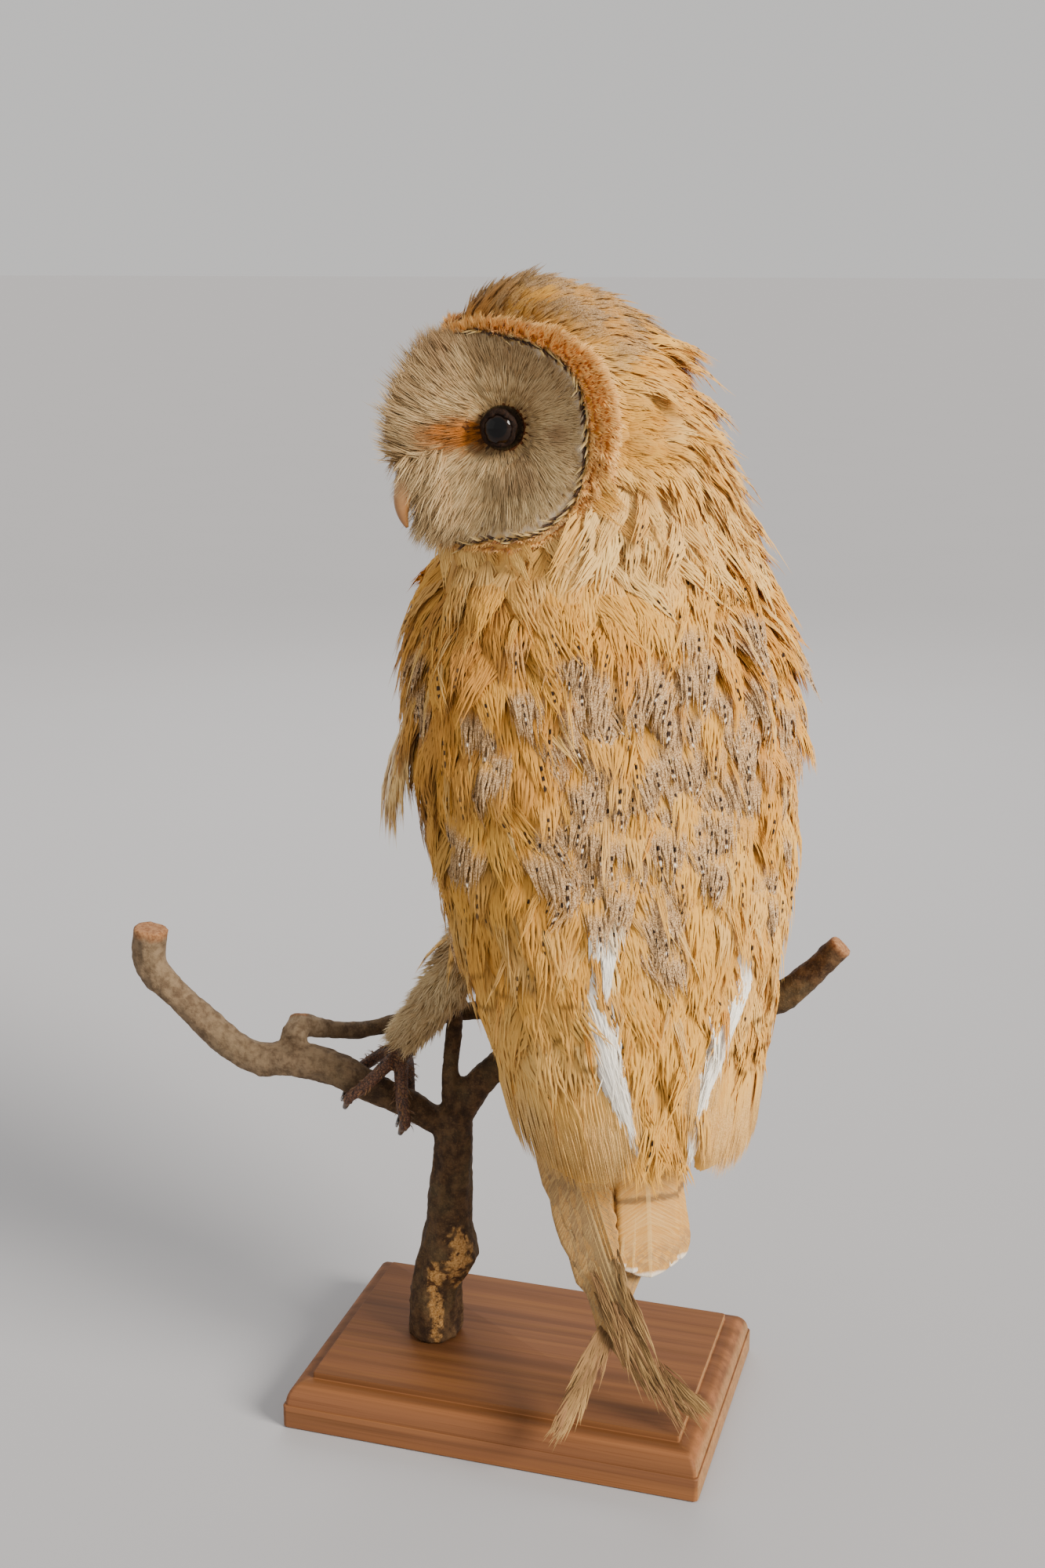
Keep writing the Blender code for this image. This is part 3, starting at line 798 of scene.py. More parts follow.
@dataclass(frozen=True)
class BarkFinish:
    """Dry bark with dark cracks and grey-green dust, worn to pale wood in places, and cut ends."""

    def make(self, name: str) -> Material:
        """The material.

        Args:
            name: What to call it.

        Returns:
            The material.
        """
        s = Shader(name, 0.82, Specular_IOR_Level=0.25)
        rough, broad, fine = s.clouds(330, 6, 0.65), s.clouds(70, 3, 0.6), s.clouds(1600, 3, 0.6)
        base = s.mix(s.step(rough, 0.34, 0.7), "332112", "5E442A")
        base = s.mix(s.step(broad, 0.46, 0.66) * 0.3, base, "5E5236")
        base = s.mix(s.step(fine, 0.5, 0.75) * 0.3, base, "8A6E4A")
        base = s.mix(s.mark("hollow") * 0.7, base, "20120A")
        bare = s.mix(s.step(rough, 0.4, 0.5), "4A2E16", s.mix(s.step(fine, 0.3, 0.7), "8A5F2A", "C0935A"))
        base = s.mix(s.mark("peeled"), base, bare)
        base = s.mix(s.mark("light_bark"), base, s.mix(s.step(rough, 0.35, 0.6), "766048", "9A8468"))
        base = s.mix(s.mark("cut"), base, s.mix(s.step(s.clouds(900, 3), 0.35, 0.65), "7E5232", "A0744E"))
        s.relief(rough * 0.7 + fine * 0.3, 0.6, 0.0012)
        return s.colour(base)


@dataclass(frozen=True)
class HornFinish:
    """Bill or claw: a run of colour from its root to its tip under a thin gloss."""

    root: str
    tip: str
    roughness: float = 0.32

    def make(self, name: str) -> Material:
        """The material.

        Args:
            name: What to call it.

        Returns:
            The material.
        """
        s = Shader(name, self.roughness, Specular_IOR_Level=0.5, Coat_Weight=0.25, Coat_Roughness=0.15)
        streak = s.clouds(700, 3)
        at = s.mark("along") + (streak - 0.5) * 0.5
        s.relief(streak, 0.15, 0.0003)
        return s.colour(s.mix(s.step(at, 0.1, 0.85), self.root, self.tip))


@dataclass(frozen=True)
class ToeFinish:
    """Scaly toe skin, dark brown with paler edges of scales."""

    def make(self, name: str) -> Material:
        """The material.

        Args:
            name: What to call it.

        Returns:
            The material.
        """
        s = Shader(name, 0.55, Specular_IOR_Level=0.4)
        feeds = {"Scale": 950, "Vector": s.place()}
        cells = s.node("ShaderNodeTexVoronoi", feeds, feature="DISTANCE_TO_EDGE")
        edge = s.step(cells.outputs["Distance"], 0.02, 0.16)
        s.relief(edge, 0.5, 0.0005)
        return s.colour(s.mix(edge, "2C1A10", s.mix(s.clouds(300, 4), "4C2C1C", "7A5238")))


@dataclass(frozen=True)
class EyeFinish:
    """A dark glass eye with a wide pupil and a brown-black iris."""

    def make(self, name: str) -> Material:
        """The material.

        Args:
            name: What to call it.

        Returns:
            The material.
        """
        s = Shader(name, 0.07, Specular_IOR_Level=0.24)
        iris = s.mix(s.clouds(500, 3), "140B06", "24150C")
        return s.colour(s.mix(s.window(s.mark("along"), 0.5, 0.92, 0.05), "050404", iris))


@dataclass(frozen=True)
class LidFinish:
    """Dry dark lids."""

    def make(self, name: str) -> Material:
        """The material.

        Args:
            name: What to call it.

        Returns:
            The material.
        """
        s = Shader(name, 0.7, Specular_IOR_Level=0.12)
        folds = s.clouds(1400, 4, 0.65, 1.0)
        s.relief(folds, 0.6, 0.0004)
        return s.colour(s.mix(s.step(folds, 0.35, 0.65), "0E0704", "2A190E"))


# ---------------------------------------------------------------- skin and markings


class Side(Enum):
    """The bird's own sides."""

    LEFT = 1
    RIGHT = -1


@dataclass
class Markings:
    """Where the plumage is grey, warm, pale or spotted, and where shade is painted on it, the same for skin and
    coat.
    """

    # round the body in degrees, height, half size in degrees, half height, in mm
    grey_patches: Rows = (
        (67, 253, 8, 11), (60, 240, 7, 10), (71, 227, 7, 14), (60, 206, 13, 14), (90, 252, 8, 13),
        (107, 260, 9, 10), (91, 227, 7, 17), (126, 230, 7, 15), (114, 222, 7, 15), (91, 190, 8, 15),
        (87, 178, 6, 9), (130, 247, 6, 9), (48, 260, 5, 9), (18, 206, 6, 8), (34, 238, 5, 12), (131, 270, 8, 8),
        (108, 208, 6, 11), (76, 205, 8, 12), (145, 240, 6, 12), (150, 215, 6, 12), (8, 250, 6, 10),
        (-12, 235, 6, 10), (165, 255, 6, 10), (104, 240, 5, 10), (178, 235, 6, 12), (190, 214, 6, 12),
        (174, 198, 6, 10), (200, 244, 6, 10), (188, 262, 6, 10), (-20, 213, 6, 11), (-30, 242, 6, 12),
        (-25, 190, 5, 9), (184, 178, 5, 9), (-6, 178, 5, 9), (162, 180, 5, 8), (140, 188, 6, 10),
    )

    # inner edges of the wing feathers: angle and height down each white line
    white_lines: tuple[Rows, ...] = (
        ((58, 170), (59.5, 158), (61.5, 147), (64.5, 137), (67.2, 127), (69.8, 117)),
        ((67.5, 186), (65, 178), (62.5, 171)),
        ((130, 170), (123.5, 160), (118, 150), (113.5, 140), (110, 130), (107, 120), (105.5, 114)),
    )

    def at(self, points: Array) -> dict[str, Array]:
        """The markings at places on the skin.

        Args:
            points: Places in metres.

        Returns:
            Shares of grey, pale and warm, the size of the drop-shaped specks, the bare dark skin, and painted
            shade.
        """
        az, z = body_angles(points)
        haz, hel, far, rho = head_angles(points)
        swirl, fine, broad = clouds(points, 9 * MM, 1), clouds(points, 4 * MM, 2), clouds(points, 26 * MM, 3)
        back = off_spine(az)
        edge = np.interp(z, *np.array(WING_FRONT, float).T)
        front = ramp(back - (90 - edge) + 5 * swirl, -4, 8) * (1 - ramp(z + 6 * swirl, 290, 312))
        neck = ramp(z + 8 * swirl, 268, 292)
        grey = self.patches(az, z, 0.35 * swirl + 0.2 * fine)
        pale = 0.42 * neck + 0.28 * ramp(-z, -215, -150) * ramp(back, 14, 40) + 0.22 * swirl
        warm = ramp(z, 205, 240) * (1 - ramp(z, 262, 290)) * (0.45 + 0.6 * swirl) * ramp(back, 15, 40)
        warm = np.maximum(warm, 0.35 * broad * (1 - neck))
        # the head
        near = (far < 62) & (z > 300)
        cap = ramp(hel + 6 * swirl, 18, 50) * (rho > 1.05)
        crown_grey = np.clip(0.5 + 1.0 * swirl, 0, 1) * cap * ramp(np.abs(haz), 10, 50)
        crown_warm = 0.75 * cap * (1 - ramp(np.abs(haz), 18, 60))
        grey = np.where(near, crown_grey, grey)
        pale = np.where(near, 0.12 + 0.3 * swirl + 0.4 * ramp(-hel, 5, 40), pale)
        warm = np.where(near, np.maximum(crown_warm, 0.25 + 0.3 * broad), warm)
        pale = np.clip(np.maximum(pale, front * (0.86 + 0.1 * fine)), 0, 1)
        face = (far < 60) & (rho < 1.0)
        pale, warm, grey = np.where(face, 0.8, pale), np.where(face, 0, warm), np.where(face, 0, grey)
        for line in self.white_lines:
            inside = self.inside(line, az, z, fine)
            pale, grey, warm = np.maximum(pale, 1.1 * inside), grey * (1 - inside), warm * (1 - inside)
        # painted shade: darker over the top of the crown and down the bird's left flank, the side turned from
        # the light
        dusk = (0.26 + 0.3 * swirl + 0.22 * (1 - ramp(np.abs(haz), 20, 55))) * cap * near
        flank = ramp(-az, -52, -22) * ramp(z, 160, 185) * (1 - ramp(z, 262, 290))
        dusk = dusk + (0.2 + 0.35 * swirl) * flank * (1 - front) * (back < 110)
        speck = (0.75 + 0.3 * fine) * (1 - front) + front * np.where(swirl > 0.15, 0.5, 0.0)
        speck = speck * (1 - 0.45 * neck) * np.where(z < 185, np.where(swirl > 0.2, 0.6, 0.0), 1.0)
        return {
            "grey": np.clip(grey * (1 - front), 0, 1),
            "pale": pale,
            "warm": np.clip(warm * (1 - front), 0, 1),
            "speck": np.clip(speck * (pale < 0.9), 0, 1.1),
            "bare": np.clip(self.bared(points, fine) * near, 0, 1),
            "dusk": np.clip(dusk, 0, 0.6),
        }

    def patches(self, az: Array, z: Array, rough: Array) -> Array:
        """The share of grey from the patches on the body.

        Args:
            az: Degrees round the body.
            z: Heights in mm.
            rough: How the edges of the patches are roughened.

        Returns:
            The share at each place.
        """
        grey = np.zeros(len(z))
        for middle, height, wide, tall in self.grey_patches:
            away = np.hypot((az - middle) / wide, (z - height) / tall) + rough
            grey = np.maximum(grey, 1 - ramp(away, 0.9, 1.3))
        return grey

    @staticmethod
    def inside(line: Rows, az: Array, z: Array, fine: Array) -> Array:
        """Where places are inside a white line.

        Args:
            line: Its points, as degrees and height.
            az: Degrees round the body.
            z: Heights in mm.
            fine: Fine noise for its edges.

        Returns:
            The share at each place.
        """
        angles, heights = np.array(line[::-1], float).T
        beside = np.abs(az - np.interp(z, heights, angles)) * 0.85 + 0.8 * fine
        ends = ramp(z, heights[0] - 3, heights[0]) * (1 - ramp(z, heights[-1], heights[-1] + 4))
        return (1 - ramp(beside, 1.6, 3.0)) * ends

    @staticmethod
    def bared(points: Array, fine: Array) -> Array:
        """Where dark skin shows round the eyes and between them and the bill.

        Args:
            points: Places in metres, in the row frame.
            fine: Fine noise for its edges.

        Returns:
            The share at each place.
        """
        p = moved(points, HEAD.inverted()) / MM
        _, q = round_eye(p)
        away = np.hypot((np.abs(p[:, 0]) - RUST_X) / RUST_WIDE, (p[:, 2] - RUST_Z) / RUST_TALL)
        red = (1 - ramp(away, 0.8, 1.3)) * (p[:, 1] < 0)
        return np.maximum(1 - ramp(q + 1.0 * fine, 8.5, 12.0), red)


@dataclass
class Skin:
    """The one skin under the coat, pulled in from the solids by the coat's depth."""

    plumage: Material
    toe_skin: Material
    marks: Markings
    voxel: float = 1.45 * MM
    grow: float = 0.55 * MM
    body_depth: float = 4.2
    head_depth: float = 3.0
    leg_depth: float = 3.0
    dish: float = 3.2
    flesh: tuple[str, ...] = ("head", "neck", "trunk", "wing_left", "wing_right", "leg_left", "leg_right")
    toes: tuple[str, ...] = ("foot_left", "foot_right")
    tree: BVHTree | None = None

    def build(self) -> Piece:
        """The skin of the body with the toes joined to it.

        Returns:
            The piece.
        """
        body = remeshed("owl_skin", joined_copy(self.flesh, self.grow), self.voxel, 5)
        co, normals = coordinates(body.data), vertex_normals(body.data)
        place(body.data, self.sculpted(co - normals * (self.depth(co)[:, None] * MM + self.grow)))
        self.tree = BVHTree.FromPolygons(
            [Vector(v) for v in coordinates(body.data)], [tuple(f.vertices) for f in body.data.polygons]
        )
        co = coordinates(body.data)
        for key, values in self.marks.at(co).items():
            store(body.data, key, values)
        toes = [remeshed(f"toes_{n}", joined_copy([n], 0.0), 0.55 * MM, 3) for n in self.toes]
        for toe in toes:
            bumps = clouds(coordinates(toe.data), 1.3 * MM, 5) * 0.12 * MM
            place(toe.data, coordinates(toe.data) + vertex_normals(toe.data) * bumps[:, None])
        for finish in (self.plumage, self.toe_skin):
            body.data.materials.append(finish)
        whole = bmesh.new()
        whole.from_mesh(body.data)
        count = len(whole.faces)
        for toe in toes:
            whole.from_mesh(toe.data)
            bpy.data.objects.remove(toe)
        for i, face in enumerate(whole.faces):
            face.material_index = 1 if i >= count else 0
            face.smooth = True
        whole.to_mesh(body.data)
        whole.free()
        n = len(body.data.vertices)
        store(body.data, "along", np.full(n, 0.7))
        store(body.data, "across", np.full(n, 1.0))
        store(body.data, "shade", clouds(coordinates(body.data), 6 * MM, 4) * 0.5)
        return body

    def depth(self, points: Array) -> Array:
        """The coat's depth in mm at places on the solids.

        Args:
            points: Places in metres, in the row frame.

        Returns:
            The depth at each, in mm.
        """
        _, z = body_angles(points)
        _, _, far, rho = head_angles(points)
        on_head = (1 - ramp(far, 48, 60)) * ramp(z, 296, 306)
        deep = self.body_depth + (self.head_depth - self.body_depth) * on_head
        deep = np.where((rho < 1.0) & (on_head > 0.5), 2.2, deep)
        deep = 0.5 + (deep - 0.5) * ramp(z, 112, 150)
        p = moved(points, OWL.inverted()) / MM
        legs = (1 - ramp(z, 168, 186)) * (1 - ramp(p[:, 1], -4, 3))
        return deep * (1 - legs) + legs * (0.6 + (self.leg_depth - 0.6) * ramp(z, 130, 150))

    def sculpted(self, points: Array) -> Array:
        """The head's skin with its dished face, raised rim and eye sockets.

        Args:
            points: Places in metres, in the row frame.

        Returns:
            The places moved.
        """
        p = moved(points, HEAD.inverted()) / MM
        az, _, far, rho = head_angles(points)
        near = (1 - ramp(far, 52, 60)) * (moved(points, OWL.inverted())[:, 2] > 0.29)
        dish = self.dish * (1 - ramp(rho, 0.72, 1.0)) * ramp(np.abs(az), 8, 30) * ramp(rho, 0.0, 0.3)
        rim = 1.7 * np.exp(-(((rho - 1.06) / 0.05) ** 2)) - 0.6 * np.exp(-(((rho - 1.17) / 0.05) ** 2))
        out = unit(p - HEAD_HEART)
        p = p + out * ((rim - dish) * near)[:, None]
        for side in Side:
            heart, gaze, _, _ = eye_frame(side)
            rel = p - heart
            s = rel @ gaze
            q = np.linalg.norm(rel - s[:, None] * gaze, axis=1)
            down = (1 - ramp(q, 5.0, 11.5)) * np.clip(s + 1.0, 0, None) * (np.linalg.norm(rel, axis=1) < 22)
            p = p - gaze * down[:, None]
        return moved(p * MM, HEAD)


# ---------------------------------------------------------------- vanes and coats


@dataclass(frozen=True)
class VaneShape:
    """One shape of feather as a fan of barbs, one unit long and one wide."""

    name: str
    barbs: int = 42
    barb_width: float = 0.05
    reach: float = 0.72
    round_end: float = 0.3
    close: float = 0.15
    wisp: float = 0.02
    camber: float = 0.12
    curl: float = 0.08
    fray: float = 0.05
    thick: float = 0.009
    variants: int = 3
    seed: int = 1

    def blade(self, path: Array, widths: Sequence[float], rows: list, faces: list, roof: float = 1.0) -> None:
        """Adds one closed blade that ends in a point.

        Args:
            path: Points from its root to its point.
            widths: Its width at each point but the last.
            rows: The vertices so far.
            faces: The faces so far.
            roof: Its thickness as a share of the barbs' thickness.
        """
        first = len(rows)
        for k, width in enumerate(widths):
            ahead = path[k + 1] - path[max(0, k - 1)]
            side = unit(np.array((ahead[1], -ahead[0], 0.0))) * width / 2
            rows += [path[k] - side, path[k] + side, path[k] + np.array((0, 0, self.thick * roof))]
        rows.append(path[-1])
        faces.append((first, first + 1, first + 2))
        for k in range(len(widths) - 1):
            a, b = first + 3 * k, first + 3 * k + 3
            faces += [(a, a + 2, b + 2, b), (a + 2, a + 1, b + 1, b + 2), (a + 1, a, b, b + 1)]
        b, tip = first + 3 * len(widths) - 3, len(rows) - 1
        faces += [(b, b + 2, tip), (b + 2, b + 1, tip), (b + 1, b, tip)]

    def lifted(self, x: float, y: float, jitter: float) -> Array:
        """A point of the vane raised to its curved face."""
        z = self.curl * math.sin(math.pi * min(1, y * 0.9)) - self.camber * 2 * x * x
        return np.array((x, y, z + jitter))

    def make(self, variant: int) -> Piece:
        """One template.

        Args:
            variant: Which of the variants, from 0.

        Returns:
            The template.
        """
        chance = np.random.default_rng(self.seed * 100 + variant)
        rows: list = []
        faces: list = []
        bend = chance.normal(0, 0.5 * self.wisp)
        for k in range(self.barbs):
            t = (k * 0.618034) % 1 * 2 - 1
            far = (1 - self.round_end * t * t) * (1 + chance.normal(0, self.fray))
            far = far * (0.76 if k % 3 == 0 else 1.0)
            start = max(0.0, far - self.reach)
            x = t * 0.46
            raise_ = self.thick * (2.2 * k / self.barbs + 1.2 * (1 - abs(t)))
            path = [self.lifted(x * 0.42, start, 0), self.lifted(x, start + 0.52 * (far - start), raise_),
                    self.lifted(x * (1 - self.close) + bend + chance.normal(0, self.wisp), far, raise_ * 0.6)]
            self.blade(np.array(path), [self.barb_width * 0.8, self.barb_width * chance.uniform(0.8, 1.25)],
                rows, faces)
        return self.dressed(rows, faces, variant)

    def dressed(self, rows: list, faces: list, variant: int) -> Piece:
        """The template as an object with its own coordinates kept on it.

        Args:
            rows: Its points, one unit long.
            faces: Its faces.
            variant: Which of the variants, from 0.

        Returns:
            The template.
        """
        co = np.array(rows)
        piece = mesh_object(f"{self.name}_{variant}", co, faces)
        crease = bmesh.new()
        crease.from_mesh(piece.data)
        for edge in crease.edges:
            edge.smooth = edge.calc_face_angle(0.0) < math.radians(90)
        crease.to_mesh(piece.data)
        crease.free()
        store(piece.data, "along", np.clip(co[:, 1], 0, 1.05))
        store(piece.data, "across", np.clip(co[:, 0] * 2, -1.2, 1.2))
        return piece


@dataclass(frozen=True)
class LockShape(VaneShape):
    """A small lock of hair-like feathers that fan from one root."""

    fan: float = 0.5
    wave: float = 0.05

    def make(self, variant: int) -> Piece:
        """One template.

        Args:
            variant: Which of the variants, from 0.

        Returns:
            The template.
        """
        chance = np.random.default_rng(self.seed * 100 + variant)
        rows: list = []
        faces: list = []
        for k in range(self.barbs):
            t = (k + 0.5) / self.barbs * 2 - 1
            far = chance.uniform(0.62, 1.05) * (1 - 0.25 * abs(t))
            x0 = t * 0.14
            x2 = t * self.fan + chance.normal(0, 0.06)
            x1 = x0 * 0.4 + x2 * 0.42 + chance.normal(0, self.wave)
            raise_ = chance.uniform(-0.02, 0.05)
            path = [self.lifted(x0, 0.0, 0), self.lifted(x1, far * 0.5, raise_),
                self.lifted(x2, far, raise_ * 1.6)]
            width = self.barb_width * chance.uniform(0.75, 1.2)
            if k % 3 == 2:
                self.blade(np.array([path[0], path[2]]), [width * 0.9], rows, faces)
            else:
                self.blade(np.array(path), [width * 0.75, width], rows, faces)
        return self.dressed(rows, faces, variant)


@dataclass
class Plumes:
    """Roots and directions of the vanes of a coat."""

    root: Array
    normal: Array
    lie: Array
    length: Array
    width: Array
    lift: Array
    patch: Array
    marks: dict[str, Array] = field(default_factory=dict)

    @classmethod
    def on_head(cls, root: Array, normal: Array, lie: Array, length: Array, width: Any, lift: Array,
                marks: dict[str, Array] | None = None) -> "Plumes":
        """Plumes of the head, their lengths and widths in mm."""
        widths = np.full(len(root), width * MM)
        return cls(root, normal, lie, length * MM, widths, lift, head_unwrap(root), marks or {})

    def __len__(self) -> int:
        """How many there are."""
        return len(self.root)

    def pick(self, keep: Array) -> "Plumes":
        """Some of them.

        Args:
            keep: Their numbers, or a mask.

        Returns:
            Those plumes.
        """
        return Plumes(
            self.root[keep], self.normal[keep], self.lie[keep], self.length[keep], self.width[keep],
            self.lift[keep], self.patch[keep], {key: values[keep] for key, values in self.marks.items()},
        )

    def euler(self) -> Array:
        """How each one is turned, from its own axes to the row frame.

        Returns:
            Three angles in radians for each.
        """
        c, s = np.cos(self.lift)[:, None], np.sin(self.lift)[:, None]
        y = self.lie * c + self.normal * s
        z = self.normal * c - self.lie * s
        x = np.cross(y, z)
        return np.stack([np.arctan2(y[:, 2], z[:, 2]), np.arcsin(np.clip(-x[:, 2], -1, 1)),
            np.arctan2(x[:, 1], x[:, 0])], 1)


@dataclass
class CoatTree:
    """The Geometry Nodes that set vanes on their roots."""

    patch_size: float = 0.003

    def build(self) -> bpy.types.NodeTree:
        """The tree, with named inputs for its templates, sizes and finish.

        Returns:
            The tree.
        """
        tree = bpy.data.node_groups.new("set_vanes", "GeometryNodeTree")
        face = tree.interface
        for name, kind in (("Roots", "Geometry"), ("Templates", "Collection"), ("Patch Size", "Float"),
                ("Finish", "Material")):
            face.new_socket(name, in_out="INPUT", socket_type=f"NodeSocket{kind}")
        face.new_socket("Coat", in_out="OUTPUT", socket_type="NodeSocketGeometry")

        def node(kind: str, feeds: dict[Any, Any], out: Any = 0, **settings: str) -> Socket:
            """The output of a new node with what goes into it.

            Args:
                kind: The node's type.
                feeds: What goes into each of its inputs.
                out: Which of its outputs.
                settings: Settings by name.

            Returns:
                The output.
            """
            made = tree.nodes.new(kind)
            for key, value in settings.items():
                setattr(made, key, value)
            for key, source in feeds.items():
                if isinstance(source, bpy.types.NodeSocket):
                    tree.links.new(source, made.inputs[key])
                else:
                    made.inputs[key].default_value = source
            return made.outputs[out]

        def kept(name: str, kind: str) -> Socket:
            """A number kept on the roots."""
            return node("GeometryNodeInputNamedAttribute", {"Name": name}, "Attribute", data_type=kind)

        given = tree.nodes.new("NodeGroupInput").outputs
        feeds = {"Collection": given["Templates"], "Separate Children": True, "Reset Children": True}
        vanes = node("GeometryNodeCollectionInfo", feeds)
        turn = node("FunctionNodeEulerToRotation", {0: kept("turn", "FLOAT_VECTOR")})
        feeds = {"Points": given["Roots"], "Instance": vanes, "Pick Instance": True,
            "Instance Index": kept("kind", "INT"), "Rotation": turn, "Scale": kept("size", "FLOAT_VECTOR")}
        real = node("GeometryNodeRealizeInstances", {0: node("GeometryNodeInstanceOnPoints", feeds)})
        # each vane gets a small patch of the map at its root's place
        half = node("ShaderNodeMath", {0: kept("across", "FLOAT"), 1: 0.5}, operation="MULTIPLY")
        spot = node("ShaderNodeCombineXYZ", {0: half, 1: kept("along", "FLOAT")})
        small = node("ShaderNodeVectorMath", {0: spot, "Scale": given["Patch Size"]}, operation="SCALE")
        where = node("ShaderNodeVectorMath", {0: small, 1: kept("patch", "FLOAT_VECTOR")}, operation="ADD")
        feeds = {"Geometry": real, "Name": "OFBake", "Value": where}
        mapped = node("GeometryNodeStoreNamedAttribute", feeds, data_type="FLOAT2", domain="CORNER")
        dressed = node("GeometryNodeSetMaterial", {"Geometry": mapped, "Material": given["Finish"]})
        tree.links.new(dressed, tree.nodes.new("NodeGroupOutput").inputs[0])
        return tree


class Coats:
    """Makes coat pieces from plumes."""

    def __init__(self) -> None:
        """Builds the tree once."""
        self.tree = CoatTree().build()
        self.total = 0

    def grow(self, name: str, plumes: Plumes, shape: VaneShape, finish: Material, slot: str) -> Piece:
        """One coat piece.

        Args:
            name: The piece's name.
            plumes: Its roots.
            shape: Its vane.
            finish: Its material.
            slot: The record's slot, which is not used.

        Returns:
            The piece, a plain mesh.
        """
        chance = np.random.default_rng(len(name) * 131 + len(plumes))
        n = len(plumes)
        mesh = bpy.data.meshes.new(name)
        mesh.vertices.add(n)
        place(mesh, plumes.root)
        vectors = {
            "turn": plumes.euler(),
            "size": np.stack([plumes.width, plumes.length, plumes.length], 1),
            "patch": np.column_stack([plumes.patch, np.zeros(n)]),
        }
        for key, rows in vectors.items():
            layer = mesh.attributes.new(key, "FLOAT_VECTOR", "POINT")
            layer.data.foreach_set("vector", rows.astype(np.float32).ravel())
        kind = mesh.attributes.new("kind", "INT", "POINT")
        kind.data.foreach_set("value", chance.integers(0, shape.variants, n).astype(np.int32))
        store(mesh, "shade", chance.uniform(0, 1, n))
        for key, values in plumes.marks.items():
            store(mesh, key, values)
        piece = linked(name, mesh)
        templates = bpy.data.collections.new(f"{name}_vanes")
        made = [shape.make(k) for k in range(shape.variants)]
        for template in made:
            bpy.context.scene.collection.objects.unlink(template)
            templates.objects.link(template)
        modifier = piece.modifiers.new("vanes", "NODES")
        modifier.node_group = self.tree
        values = {"Templates": templates, "Patch Size": CoatTree.patch_size, "Finish": finish}
        for item in self.tree.interface.items_tree:
            if item.item_type == "SOCKET" and item.name in values:
                modifier[item.identifier] = values[item.name]
        piece.data = evaluated(piece)
        for key in (*vectors, "kind"):
            if layer := piece.data.attributes.get(key):
                piece.data.attributes.remove(layer)
        piece.data.shade_smooth()
        for template in made:
            bpy.data.objects.remove(template)
        bpy.data.collections.remove(templates)
        triangles = self.count(piece.data)
        self.total += triangles
        LOG.info("%s: %d vanes, %d triangles", name, n, triangles)
        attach(piece, "root")
        return piece

    @staticmethod
    def count(mesh: Mesh) -> int:
        """Triangles in a mesh.

        Args:
            mesh: The mesh.

        Returns:
            Their number.
        """
        sizes = np.empty(len(mesh.polygons), np.int32)
        mesh.polygons.foreach_get("loop_total", sizes)
        return int((sizes - 2).sum())


# ---------------------------------------------------------------- the bird's coat


def parted(hits: Iterable[tuple[Array, Array] | None]) -> tuple[Array, Array]:
    """The places where lines met the skin, and the ways the skin faces there."""
    met = [hit for hit in hits if hit is not None]
    return np.array([hit[0] for hit in met]), np.array([hit[1] for hit in met])


@dataclass
class Sower:
    """Finds roots on the skin."""

    tree: BVHTree
    marks: Markings
    seed: int = 7

    def __post_init__(self) -> None:
        """Starts its own run of chances."""
        self.chance = np.random.default_rng(self.seed)

    def cast(self, start: Array, way: Array, far: float = 1.0) -> tuple[Array, Array] | None:
        """Where a line meets the skin, and the way the skin faces there."""
        spot, normal, _, _ = self.tree.ray_cast(Vector(start), Vector(way), far)
        return None if spot is None else (np.array(spot), np.array(normal))

    def inward(self, az: float, z: float) -> tuple[Array, Array] | None:
        """The skin met from outside the body.

        Args:
            az: Degrees round the body.
            z: Height in mm.

        Returns:
            The place and the way the skin faces there, or none.
        """
        t = math.radians(az)
        way = np.array((math.cos(t), math.sin(t), 0.0))
        heart = np.array((*body_middle(z), z))
        start = moved((heart + way * 150) * MM, OWL)
        return self.cast(start, turned(-way, OWL), 0.15)

    def outward(self, az: float, el: float) -> tuple[Array, Array] | None:
        """The skin met from inside the head.

        Args:
            az: Degrees from straight ahead.
            el: Degrees up.

        Returns:
            The place and the way the skin faces there, or none.
        """
        a, e = math.radians(az), math.radians(el)
        way = np.array((math.sin(a) * math.cos(e), -math.cos(a) * math.cos(e), math.sin(e)))
        return self.cast(moved(HEAD_HEART * MM, HEAD), turned(way, HEAD), 0.085)

    def round_body(self, low: float, high: float, step: float, gap: float) -> tuple[Array, Array]:
        """Staggered rows of roots round the body, between two heights in mm.

        Args:
            low: The lowest height in mm.
            high: The highest.
            step: Height between rows.
            gap: Space between roots in a row.

        Returns:
            Roots, and the ways the skin faces there.
        """
        hits = []
        for z in np.arange(low, high, step):
            ring = [self.inward(a, z) for a in range(0, 360, 6)]
            if all(r is None for r in ring):
                continue
            pts = np.array([r[0] if r else (np.nan,) * 3 for r in ring])
            steps = np.linalg.norm(np.diff(np.vstack([pts, pts[:1]]), axis=0), axis=1)
            steps = np.minimum(np.nan_to_num(steps, nan=4 * MM), 9 * MM)
            girth = np.concatenate([[0], np.cumsum(steps)])
            count = int(girth[-1] / (gap * MM))
            at = (np.arange(count) + self.chance.uniform(0, 1)) / count * girth[-1]
            for az in np.interp(at, girth, np.arange(0, 361, 6)):
                aside, above = self.chance.normal(0, 0.25) * 360 / count, self.chance.normal(0, 0.28) * step
                hits.append(self.inward(az + aside, z + above))
        return parted(hits)

    def round_head(self, count: int) -> tuple[Array, Array]:
        """Evenly spread roots round the head.

        Args:
            count: How many lines are cast.

        Returns:
            Roots, and the ways the skin faces there.
        """
        hits = []
        golden = math.pi * (3 - math.sqrt(5))
        for k in range(count):
            el = math.degrees(math.asin(1 - 2 * (k + 0.5) / count)) + self.chance.normal(0, 0.4)
            hits.append(self.outward(math.degrees(k * golden) + self.chance.normal(0, 0.5), el))
        return parted(hits)


